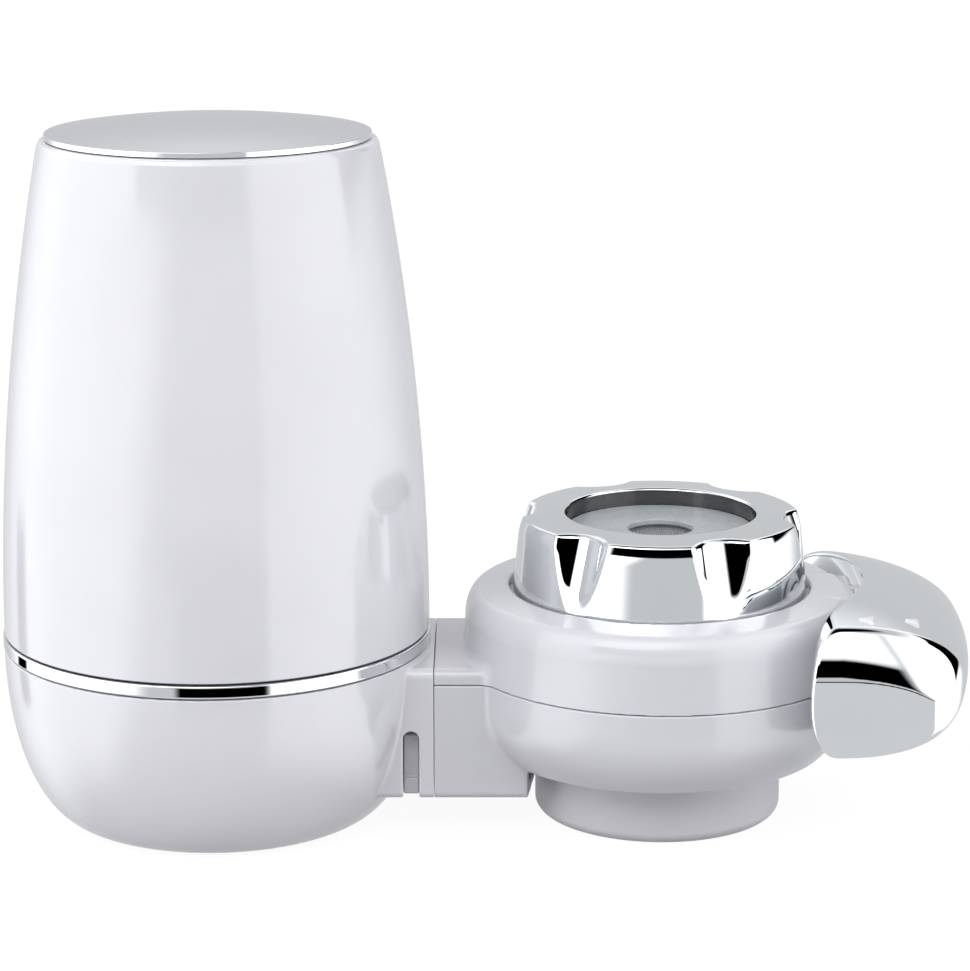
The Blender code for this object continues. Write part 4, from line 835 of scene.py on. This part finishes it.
def make_cartridge():
    """Ceramic tube between two caps: the lower one with its spigot, the upper one with a knob."""
    foot, top, outer = ends("ceramic_tube")
    inner = outer - CERAMIC_WALL
    corners = [(inner, top, SOFT), (outer, top, 0.6), (outer, foot, 0.6), (inner, foot, SOFT)]
    turned_piece("ceramic_wall", corners, "ceramic_tube", SMALL_TURN_STEPS)
    end, rim, edge = ends("cartridge_base_cap")
    floor, socket_r = foot - CLEAR, edge - CAP_WALL
    corners = [(SPIGOT_BORE_R, floor, SOFT), (socket_r, floor, SOFT), (socket_r, rim, FINE),
               (edge, rim, 0.4), (edge, floor - CAP_FLOOR, 0.8), (SPIGOT_R, floor - CAP_FLOOR, SOFT)]
    for groove_z in SPIGOT_GROOVES:
        groove_top, groove_foot = end + groove_z + SPIGOT_GROOVE_HALF, end + groove_z - SPIGOT_GROOVE_HALF
        corners += [(SPIGOT_R, groove_top, SHARP), (SPIGOT_GROOVE_R, groove_top, SHARP),
                    (SPIGOT_GROOVE_R, groove_foot, SHARP), (SPIGOT_R, groove_foot, SHARP)]
    corners += [(SPIGOT_R, end, 0.5), (SPIGOT_BORE_R, end, SOFT)]
    turned_piece("cartridge_foot", corners, "cartridge_base_cap", SMALL_TURN_STEPS)
    skirt, knob_top, _ = ends("cartridge_top_cap")
    ceiling, roof = top + CLEAR, top + CLEAR + CAP_FLOOR
    corners = [(CENTRE_R, knob_top, 0.01), (KNOB_R, knob_top, 1.4), (KNOB_R - 1.0, roof, 0.8),
               (edge, roof, 1.0), (edge, skirt, 0.4), (socket_r, skirt, FINE),
               (socket_r, ceiling, SOFT), (CENTRE_R, ceiling, 0.01)]
    turned_piece("cartridge_cap", corners, "cartridge_top_cap", SMALL_TURN_STEPS)


# Valve housing

LOWER_FILLET = 0.9
UPPER_FILLET = 1.6
BODY_FOOT_EDGE = 0.9
BODY_FOOT_POWER = 2.6
BOSS_FILLET = 0.8
LUG_HALF_WIDTH = 8.5
LUG_END = 33.4
LUG_EDGE = 0.4
LUG_ROUND = 1.0
BOSS_EDGE = 0.5
UPPER_WALL = 1.8
ARM_FOOT_X = -21.0
ARM_FOOT_SKEW = 0.11
UPPER_PARTING_EDGE = 0.06
LOWER_PARTING_EDGE = 0.28
RECESS_EDGE = 0.45
OUTLET_HOLE_R = 12.3
INLET_HOLE_R = 12.7
BARREL_BORE_R = 7.5
ROTOR_BORE_R = 5.1
BARREL_BORE_END = 34.6


def housing_parts(p):
    """Distances to the arm and the round boss, and the radius about the valve's axis."""
    x, y, z = p[..., 0] - VALVE_X, p[..., 1], p[..., 2]
    radius = np.hypot(x, y)
    arm = np.maximum(round_max(arm_section(y, z), ARM_START - VALVE_X - x, END_EDGE), x - ARM_INSIDE)
    from_pivot = np.hypot(y, z - PIVOT_Z)
    boss = np.maximum(round_max(from_pivot - BOSS_R, x - BOSS_END, BOSS_EDGE), BOSS_INSIDE - x)
    lug = round_max(np.abs(y) - LUG_HALF_WIDTH, np.abs(z - PIVOT_Z) - BOSS_R, LUG_ROUND)
    boss = np.minimum(boss, np.maximum(round_max(lug, x - LUG_END, LUG_EDGE), LUG_INSIDE - x))
    bores = np.maximum(from_pivot - BARREL_BORE_R, x - BARREL_BORE_END)
    bores = np.maximum(np.minimum(bores, from_pivot - ROTOR_BORE_R), BORE_INSIDE - x)
    return radius, arm, boss, bores


def lower_field(p):
    """Distance to the lower shell: body, arm and boss below the parting line, and their hollow."""
    z = p[..., 2]
    radius, arm, boss, bores = housing_parts(p)
    drop = np.clip((BODY_BOTTOM + BODY_ROUND_HEIGHT - z) / BODY_ROUND_HEIGHT, 0, 1.3)
    lean = (BODY_R - BODY_FOOT_R) * BODY_FOOT_POWER / BODY_ROUND_HEIGHT * drop ** (BODY_FOOT_POWER - 1)
    side = (radius - BODY_R + (BODY_R - BODY_FOOT_R) * drop ** BODY_FOOT_POWER) / np.hypot(1, lean)
    body = round_max(side, BODY_BOTTOM - z, BODY_FOOT_EDGE)
    solid = round_min(round_min(body, arm, LOWER_FILLET), boss, BOSS_FILLET)
    shell = round_max(solid, z - (PARTING_Z - JOINT), LOWER_PARTING_EDGE)
    shell = np.maximum(shell, -(solid + SHELL_WALL))
    shell = np.maximum(shell, OUTLET_HOLE_R - radius)
    beyond = p[..., 0] - VALVE_X - ARM_FOOT_X + ARM_FOOT_SKEW * np.abs(p[..., 1])
    foot_cut = np.maximum(np.minimum(-beyond, radius - NOZZLE_R - JOINT), z - BODY_BOTTOM)
    shell = round_max(shell, -foot_cut, FINE)
    tube = np.hypot(np.abs(p[..., 1]) - TUBE_Y, z - TUBE_Z) - TUBE_BORE_R
    shell = np.maximum(shell, -np.maximum(tube, p[..., 0] - ARM_START - TUBE_BORE_DEPTH))
    return np.maximum(shell, -bores)


def upper_field(p):
    """Distance to the upper shell, with its collar and the recess round the nut."""
    z = p[..., 2]
    radius, arm, boss, bores = housing_parts(p)
    side_r = BODY_R - (BODY_R - COLLAR_SIDE_R) * (z - PARTING_Z) / (COLLAR_SIDE_Z - PARTING_Z)
    side_r = np.maximum(side_r, COLLAR_SIDE_R)
    rise = (COLLAR_TOP_Z - COLLAR_EDGE_Z) / (COLLAR_EDGE_R - RECESS_R)
    corner_height = COLLAR_EDGE_Z - COLLAR_SIDE_Z + rise * np.maximum(COLLAR_EDGE_R - radius, 0)
    across = np.maximum(radius - COLLAR_EDGE_R, 0) / (side_r - COLLAR_EDGE_R)
    up = np.maximum(z - COLLAR_SIDE_Z, 0) / corner_height
    reach = np.hypot(across, up)
    steepness = np.hypot(across / (side_r - COLLAR_EDGE_R), up / corner_height)
    body = (reach - 1) / np.maximum(steepness / np.maximum(reach, 1e-6), 0.05)
    solid = round_min(round_min(body, arm, UPPER_FILLET), boss, BOSS_FILLET)
    recess = np.maximum(radius - RECESS_R, RECESS_FLOOR_Z - z)
    solid = round_max(solid, -recess, RECESS_EDGE)
    shell = round_max(solid, PARTING_Z + JOINT - z, UPPER_PARTING_EDGE)
    shell = np.maximum(shell, -(solid + UPPER_WALL))
    shell = np.maximum(shell, INLET_HOLE_R - radius)
    return np.maximum(shell, -bores)


def make_housing():
    reach = BODY_R + 1
    xs = levels(ARM_START - 1, VALVE_X + BOSS_END + 1, HOUSING_STEP, [(ARM_START, 0.12)])
    ys = levels(-reach, reach, HOUSING_STEP)
    rise = HOUSING_RISE_STEP
    lower_zs = levels(ARM_BOTTOM - 1, PARTING_Z + 1, rise, [(PARTING_Z, 0.1), (BODY_BOTTOM, 0.3)])
    upper_zs = levels(PARTING_Z - 1, COLLAR_TOP_Z + 1, rise, [(PARTING_Z, 0.1), (COLLAR_TOP_Z, 0.2)])
    new_piece("lower_housing", *skin(lower_field, box_grid(xs, ys, lower_zs)), "valve_lower_shell")
    new_piece("upper_housing", *skin(upper_field, box_grid(xs, ys, upper_zs)), "valve_upper_shell")


# Swivel nut

NUT_TOP_EDGE = 0.35
NUT_CROWN_R = 10.0
NUT_CROWN_HEIGHT = 3.5
NUT_BOTTOM_EDGE = 0.6
NUT_BORE_EDGE = 0.6
FLUTE_EDGE = 0.6
NUT_TOP_FALL = 0.05


def nut_field(p):
    """Distance to the nut: a flared and crowned turned body, its flutes and its bore."""
    x, y, z = p[..., 0] - VALVE_X, p[..., 1], p[..., 2]
    radius = np.hypot(x, y)
    flare = (NUT_BOTTOM_R - NUT_TOP_R) / (NUT_TOP_Z - NUT_BOTTOM)
    crown = np.clip(z - NUT_RIM_Z + NUT_CROWN_HEIGHT, 0, NUT_CROWN_R - 1)
    crown_inset = NUT_CROWN_R - np.sqrt(NUT_CROWN_R ** 2 - crown ** 2)
    side = (radius - NUT_TOP_R - flare * (NUT_TOP_Z - z) + crown_inset) * math.cos(math.atan(flare))
    top = z - NUT_RIM_Z + NUT_TOP_FALL * np.maximum(radius - NUT_BORE_R, 0)
    solid = round_max(round_max(side, top, NUT_TOP_EDGE), NUT_BOTTOM - z, NUT_BOTTOM_EDGE)
    tip_r = NUT_TOP_R + flare * (NUT_TOP_Z - FLUTE_TIP_Z) + FLUTE_R
    top_r = NUT_TOP_R - FLUTE_DEPTH + FLUTE_R
    lean = (tip_r - top_r) / (NUT_TOP_Z - FLUTE_TIP_Z)
    upright = math.cos(math.atan(lean))
    for index in range(FLUTE_COUNT):
        angle = math.radians(FLUTE_FIRST_DEG + 360 * index / FLUTE_COUNT)
        out = x * math.sin(angle) - y * math.cos(angle)
        across = x * math.cos(angle) + y * math.sin(angle)
        axis_out = tip_r + lean * (FLUTE_TIP_Z - z)
        flute = np.hypot((out - axis_out) * upright, across) - FLUTE_R
        solid = round_max(solid, -flute, FLUTE_EDGE)
    bore = np.maximum(radius - NUT_BORE_R, NUT_LIP_TOP - z)
    solid = round_max(solid, -bore, NUT_BORE_EDGE)
    solid = np.maximum(solid, NUT_LIP_R - radius)
    return np.maximum(solid, -np.maximum(radius - NUT_SKIRT_BORE_R, z - NUT_LIP_BOTTOM))


def make_nut():
    angles = np.linspace(0, 2 * np.pi, NUT_STEPS, endpoint=False)
    radii = levels(NUT_LIP_R - 1, NUT_BOTTOM_R + 1, 0.7, [(NUT_BORE_R, 0.2), (NUT_TOP_R, 0.25)])
    heights = levels(NUT_BOTTOM - 1, NUT_RIM_Z + 1, 0.45, [(NUT_RIM_Z - 1, 0.15), (NUT_BOTTOM, 0.2)])
    grid = round_grid(angles, radii, heights, VALVE_X)
    nut = new_piece("chrome_nut", *skin(nut_field, grid, wrap=True), "swivel_nut")
    bore_r = NUT_BORE_R + 0.25
    # The bore's faces get the darker metal: painted shade inside the nut.
    second_finish(nut, BORE, VALVE_X, lambda radius, z: (radius < bore_r) & (z < NUT_RIM_Z - 0.3))


# Lever

BOWL_EDGE = 1.1
LEVER_TOP_EDGE = 0.7
LEVER_SIDE_EDGE = 1.5
LEVER_INNER_EDGE_X = 24.5
LEVER_TOP_EDGE_Y = -31.8

# Marks on the lever's upper side, in white plastic as a painted highlight of raised chrome: the round of
# their corners, their rings as (inset, rise), and their corners relative to the pivot, clockwise from the
# tip
MARK_ROUND = 0.25
MARK_RINGS = [(0.0, -0.4), (0.0, 0.20), (0.06, 0.28), (0.16, 0.32)]
MARKS = [[(31.0, -28.0), (33.8, -26.2), (33.6, -30.0)], [(39.0, -25.4), (41.6, -23.3), (41.5, -26.8)]]


def lever_outer_x(y):
    """How far out the curved back of the lever stands along its length."""
    front = np.clip((LEVER_OUTER_Y - y) / (LEVER_OUTER_Y - LEVER_FRONT_Y), 0, None)
    back = np.clip((y - LEVER_OUTER_Y) / (LEVER_BACK_Y - LEVER_OUTER_Y), 0, None)
    return (LEVER_OUTER_X - (LEVER_OUTER_X - LEVER_FRONT_X) * front ** LEVER_FRONT_CURVE
            - (LEVER_OUTER_X - LEVER_BACK_X) * back ** LEVER_BACK_CURVE)


def lever_section(p):
    """Places across and up the rounded section, as shares of its size, and that size."""
    x, y, z = p[..., 0] - VALVE_X, p[..., 1], p[..., 2] - PIVOT_Z
    toward_front = np.maximum(y / LEVER_FRONT_Y, 0) ** 2
    half = np.where(x > LEVER_MIDDLE_X, np.maximum(lever_outer_x(y) - LEVER_MIDDLE_X, 1.0),
                    LEVER_MIDDLE_X - LEVER_INNER_X)
    height = (LEVER_HALF_HEIGHT * (1 - LEVER_BACK_THINNER * np.maximum(y / LEVER_BACK_Y, 0) ** 2)
              * (1 - LEVER_FRONT_THINNER * toward_front))
    rise = LEVER_RISE - LEVER_FRONT_SINK * toward_front
    return (x - LEVER_MIDDLE_X) / half, (z - rise) / height, half, height


def section_edge(share):
    """Edge of the rounded section over a place across it, both as shares of its size."""
    return (1 - np.abs(share) ** LEVER_SECTION_SQUARE) ** (1 / LEVER_SECTION_SQUARE)


def lever_form(p):
    """Grows through 1 at the lever's long surface: rounded sections along a curved back."""
    across, up, _, _ = lever_section(p)
    middle = (LEVER_FRONT_Y + LEVER_BACK_Y) / 2
    share = np.maximum(p[..., 1] - middle, 0) / ((LEVER_BACK_Y - LEVER_FRONT_Y) / 2)
    section = np.abs(across) ** LEVER_SECTION_SQUARE + np.abs(up) ** LEVER_SECTION_SQUARE
    section = section ** (1 / LEVER_SECTION_SQUARE)
    return (section ** LEVER_BACK_SQUARE + share ** LEVER_BACK_SQUARE) ** (1 / LEVER_BACK_SQUARE)


def face_fall(p):
    """How far the front face rolls back towards its top edge and its outer corner."""
    across, up, half, height = lever_section(p)
    below = (section_edge(np.clip(across, 0, 1)) - up) * height
    inside = (section_edge(np.clip(up, 0, 1)) - across) * half
    top = np.clip(1 - below / LEVER_ROLL_BAND, -1, 1.1)
    top = (top + np.hypot(top, LEVER_ROLL_CREASE)) / 2
    corner = np.clip(1 - inside / LEVER_CORNER_BAND, 0, 1.1)
    beyond = np.clip(p[..., 0] - VALVE_X - LEVER_MIDDLE_X, 0, LEVER_ROLL_OUTER_WIDTH)
    more = LEVER_ROLL_OUTER_SLOPE * beyond / LEVER_ROLL_OUTER_WIDTH
    roll = (LEVER_ROLL_CURVE - more / 2) * top ** 2 + (LEVER_ROLL_SLOPE + more) * top
    return (roll ** 4 + (LEVER_CORNER_ROLL * corner ** 2) ** 4) ** 0.25


def lever_skin(p):
    """Distance to the lever's outside: the long surface and a front face that rolls to its edge."""
    steepness = np.linalg.norm(slope(lever_form, p, 0.05), axis=-1)
    long_side = (lever_form(p) - 1) / np.maximum(steepness, 0.01)
    x, y, z = p[..., 0] - VALVE_X, p[..., 1], p[..., 2] - PIVOT_Z
    face = LEVER_FACE_Y - y + LEVER_FACE_TILT * (LEVER_FACE_TOP_Z - z) + face_fall(p)
    outward = np.clip((x - LEVER_MIDDLE_X) / (LEVER_FRONT_X - LEVER_MIDDLE_X), 0, 1)
    edge = LEVER_TOP_EDGE + (LEVER_SIDE_EDGE - LEVER_TOP_EDGE) * outward ** 3
    return round_max(long_side, face / LEVER_FACE_STEEPNESS, edge)


def lever_field(p):
    """Distance to the lever, hollowed round the pivot on its inner side."""
    x = p[..., 0] - VALVE_X
    turn_r = np.hypot(p[..., 1], p[..., 2] - PIVOT_Z) / BOWL_TURN_R
    lean = BOWL_SLOPE * turn_r / BOWL_TURN_R / np.hypot(1, turn_r)
    bowl = (x - BOWL_DEPTH_X + BOWL_SLOPE * (np.hypot(1, turn_r) - 1)) / np.hypot(1, lean)
    return round_max(lever_skin(p), -bowl, BOWL_EDGE)


def lever_top(x, y):
    """Height of the lever's upper side over a place in its front half."""
    place = np.stack([x, y, np.full_like(x, PIVOT_Z)], axis=-1)
    across, up, _, height = lever_section(place)
    return PIVOT_Z + height * (section_edge(across) - up)


def make_mark(name, corners):
    """A small raised triangle that points at the valve: rings of points, each a little further in."""
    outline, outward = rounded([(x + VALVE_X, y, MARK_ROUND) for x, y in corners])
    outline, outward = np.array(outline), np.array(outward)
    middle = outline.mean(axis=0)
    points = []
    for inset, rise in MARK_RINGS:
        ring = outline - inset * outward
        points.append(np.column_stack([ring, lever_top(ring[:, 0], ring[:, 1]) + rise]))
    centre_z = lever_top(middle[:1], middle[1:])[0]
    ends = [[*middle, centre_z + MARK_RINGS[-1][1]], [*middle, centre_z + MARK_RINGS[0][1]]]
    count = len(outline)
    top_ring = (len(MARK_RINGS) - 1) * count
    centre = len(MARK_RINGS) * count
    faces = []
    for i in range(count):
        j = (i + 1) % count
        for ring in range(len(MARK_RINGS) - 1):
            low_ring, high_ring = ring * count, (ring + 1) * count
            faces.append((low_ring + i, high_ring + i, high_ring + j, low_ring + j))
        faces.append((top_ring + i, centre, top_ring + j))
        faces.append((j, centre + 1, i))
    points = np.concatenate(points + [np.array(ends)])
    # White finish: painted highlight, standing in for a raised chrome mark that catches the light.
    new_piece(name, points, faces, None, "lever", replace=False, finish=WHITE)


def make_lever():
    xs = levels(VALVE_X + LEVER_INNER_X - 8, VALVE_X + LEVER_OUTER_X + 1, LEVER_STEP,
                [(VALVE_X + LEVER_INNER_EDGE_X, 0.2)])
    ys = levels(LEVER_FACE_Y - 1, LEVER_BACK_Y + 1, LEVER_STEP,
                [(LEVER_FACE_Y, 0.25), (LEVER_TOP_EDGE_Y, 0.2)])
    low_z = PIVOT_Z + LEVER_RISE - LEVER_HALF_HEIGHT
    zs = levels(low_z - 1, low_z + 2 * LEVER_HALF_HEIGHT + 1, 0.28)
    new_piece("chrome_lever", *skin(lever_field, box_grid(xs, ys, zs)), "lever")
    for index, corners in enumerate(MARKS):
        make_mark(f"lever_mark_painted_highlight_{index + 1}", corners)


# Outlet and inlet

def valve_piece(name, corners, node, steps=TURN_STEPS, finish=None):
    """A piece turned about the valve's axis."""
    return turned_piece(name, corners, node, steps, (VALVE_X, 0.0), finish)


def make_nozzle():
    bore, roof = NOZZLE_R - NOZZLE_WALL, NOZZLE_TOP - NOZZLE_ROOF
    corners = [(NOZZLE_NECK_R, NOZZLE_TOP, FINE), (NOZZLE_R, NOZZLE_TOP, SOFT),
               (NOZZLE_R, 0.0, NOZZLE_RIM_ROUND), (NOZZLE_LIP_R, 0.0, SOFT),
               (NOZZLE_LIP_R, NOZZLE_LIP_HEIGHT, FINE), (bore, NOZZLE_LIP_HEIGHT, SHARP),
               (bore, roof, SOFT), (NOZZLE_NECK_R, roof, FINE)]
    valve_piece("nozzle", corners, "outlet_nozzle", finish=MATTE)


def make_gasket():
    bottom = low("inlet_gasket").z - GASKET_SUNK
    top = bottom + GASKET_SHOWN
    edge = NUT_BORE_R - 0.1
    valve_piece("gasket", [(GASKET_HOLE_R, top, SOFT), (edge, top, FINE), (edge, bottom, FINE),
                           (GASKET_HOLE_R, bottom, SOFT)], "inlet_gasket")


def make_screen(name, node):
    """Dished mesh disc held in a thin rim."""
    foot, top, edge = ends(node, VALVE_X)
    rim_r, dish_r = edge - SCREEN_RIM, edge - SCREEN_RIM - 0.3
    corners = [(CENTRE_R, top - SCREEN_DISH, 0.01), (dish_r, top - SCREEN_DISH, SHARP), (rim_r, top, SHARP),
               (edge, top, SHARP), (edge, foot, SHARP), (rim_r, foot, SHARP),
               (dish_r, foot + SCREEN_DISH, SHARP), (CENTRE_R, foot + SCREEN_DISH, 0.01)]
    screen = valve_piece(name, corners, node, SMALL_TURN_STEPS)
    second_finish(screen, MESH, VALVE_X, lambda radius, z: radius < dish_r - 0.1)


def make_aerator_sleeve():
    foot, top, edge = ends("aerator_sleeve", VALVE_X)
    corners = [(SLEEVE_BORE_R, top, FINE), (edge, top, FINE), (edge, top - SLEEVE_FLANGE, FINE),
               (SLEEVE_R, top - SLEEVE_FLANGE, SOFT), (SLEEVE_R, foot, SOFT), (SLEEVE_BORE_R, foot, FINE)]
    valve_piece("aerator_collar", corners, "aerator_sleeve", SMALL_TURN_STEPS)


make_cup()
make_neck()
make_clip()
make_trim_ring()
make_cover()
make_top_plate()
make_housing()
make_nut()
make_lever()
make_nozzle()
make_gasket()
make_cover_seal()
make_cartridge()
make_screen("inlet_mesh", "inlet_screen")
make_screen("outlet_mesh", "aerator_screen")
make_aerator_sleeve()

for name, obj in frame["nodes"].items():
    obj.data.materials.clear()
    obj.data.materials.append(FINISH_OF_SLOT[SLOT_OF_NODE[name]])


# Studio

DEGREES = 180.0 / math.pi
ROOM_LEVEL = 0.66
GROUND_LEVEL = 0.72
LEFT_LEVEL = 1.70
RIGHT_LEVEL = 1.56
FRONT_LEVEL = 0.9
BACK_LEVEL = 0.5
FLOOR_GLOW = 1.20
FLOOR_GLOW_SHARE = 0.78
FLOOR_HALF = 6000.0

# Windows and dark cards by direction: azimuth from, to and softness, elevation from, to and softness
BOX_HEIGHT = (-38.0, 55.0, 20.0)
FRONT_BOX = (-44.0, 28.0, 8.0, 30.0, 70.0, 4.0)
UPPER_CARD = (-44.0, 28.0, 6.0, 9.5, 28.0, 2.0)
LOWER_CARD = (-18.0, 31.0, 5.0, -21.0, -9.0, 3.0)
LEFT_STRIP = (-130.0, -119.0, 3.0, -21.0, -11.5, 2.0)
RIGHT_STRIP = (100.0, 140.0, 4.0, 3.0, 45.0, 4.0)

CAMERA_PITCH = math.radians(13.6)
CAMERA_DISTANCE = 556.7
CAMERA_TARGET = Vector((46.2, 0.0, 57.5))
CAMERA_FOCAL_PIXELS = 3250
PICTURE_SIDE_PIXELS = 971
SENSOR = 36.0


def make_camera():
    """A long lens that looks down a little, at the picture's own angle."""
    back = Vector((0.0, -math.cos(CAMERA_PITCH), math.sin(CAMERA_PITCH)))
    data = bpy.data.cameras.new("camera")
    data.sensor_width = SENSOR
    data.lens = SENSOR * CAMERA_FOCAL_PIXELS / PICTURE_SIDE_PIXELS
    data.clip_start, data.clip_end = 0.01, 20.0
    camera = bpy.data.objects.new("camera", data)
    camera.location = (CAMERA_TARGET + back * CAMERA_DISTANCE) * MM
    camera.rotation_mode = "QUATERNION"
    camera.rotation_quaternion = (-back).to_track_quat("-Z", "Y")
    bpy.context.scene.collection.objects.link(camera)
    bpy.context.scene.camera = camera


def make_floor():
    """Large plain floor that looks evenly pale."""
    half = FLOOR_HALF * MM
    mesh = bpy.data.meshes.new("floor")
    corners = [(-half, -half, 0), (half, -half, 0), (half, half, 0), (-half, half, 0)]
    mesh.from_pydata(corners, [], [(0, 1, 2, 3)])
    floor = bpy.data.objects.new("floor", mesh)
    bpy.context.scene.collection.objects.link(floor)
    finish = new_finish("pale_floor")
    diffuse = finish.node("BsdfDiffuse", {"Color": (0.42, 0.42, 0.43, 1.0)})
    glow = finish.node("Emission", {"Color": (1.0, 1.0, 1.0, 1.0), "Strength": FLOOR_GLOW})
    seen = finish.node("LightPath", {}, output="Is Camera Ray") * FLOOR_GLOW_SHARE
    mesh.materials.append(finish.end(finish.node("MixShader", {0: seen, 1: diffuse, 2: glow})))
    floor.visible_glossy = False


def between(value, start, end, soft):
    """1 between two places and 0 outside, with soft edges."""
    half = soft / 2
    return value.ramp(start - half, start + half) * (1.0 - value.ramp(end - half, end + half))


def card(azimuth, elevation, place):
    """1 inside a window or card of the studio and 0 outside."""
    return between(azimuth, *place[:3]) * between(elevation, *place[3:])


def make_world():
    """Studio by direction: azimuth from the camera's side towards +X, elevation above the horizon."""
    world = bpy.data.worlds.new("studio")
    bpy.context.scene.world = world
    finish = Finish(world)
    x, y, z = finish.parts_of(finish.place("Generated"))
    azimuth = finish.maths("ARCTAN2", x, 0.0 - y) * DEGREES
    elevation = finish.maths("ARCSINE", z) * DEGREES
    height = between(elevation, *BOX_HEIGHT)
    leaning = azimuth + 0.8 * (14.0 - elevation)
    left_box = (0.8 * azimuth.ramp(-150.0, -105.0) + 0.2 * azimuth.ramp(-100.0, -70.0)) * height
    left_box = left_box * (1.0 - leaning.ramp(-30.0, -6.0))
    right_box = (0.6 * azimuth.ramp(29.0, 34.0) + 0.4 * azimuth.ramp(34.0, 75.0)) * height
    right_box = right_box * (1.0 - azimuth.ramp(90.0, 145.0))
    front_box = card(azimuth, elevation, FRONT_BOX)
    cards = card(azimuth, elevation, UPPER_CARD) + card(azimuth, elevation, LOWER_CARD)
    strips = card(azimuth, elevation, LEFT_STRIP) + card(azimuth, elevation, RIGHT_STRIP)
    dark = finish.maths("MAXIMUM", cards, strips)
    dark = finish.maths("MAXIMUM", dark, elevation.ramp(66.0, 74.0))
    back_glow = between(elevation, 26.0, 52.0, 10.0) * finish.maths("ABSOLUTE", azimuth).ramp(100.0, 150.0)
    room = ROOM_LEVEL + (GROUND_LEVEL - ROOM_LEVEL) * (1.0 - elevation.ramp(-24.0, -20.0))
    level = room + LEFT_LEVEL * left_box + RIGHT_LEVEL * right_box + FRONT_LEVEL * front_box
    level = (level + BACK_LEVEL * back_glow) * (1.0 - dark)
    light = finish.node("Background", {"Color": (0.965, 0.98, 1.0, 1.0), "Strength": level})
    white = finish.node("Background", {"Color": (1.0, 1.0, 1.0, 1.0), "Strength": 1.0})
    seen = finish.node("LightPath", {}, output="Is Camera Ray")
    finish.end(finish.node("MixShader", {0: seen, 1: light, 2: white}))
    world.cycles.sampling_method = "MANUAL"
    world.cycles.sample_map_resolution = 1024


make_camera()
make_floor()
make_world()

bpy.context.scene.view_settings.view_transform = "Standard"
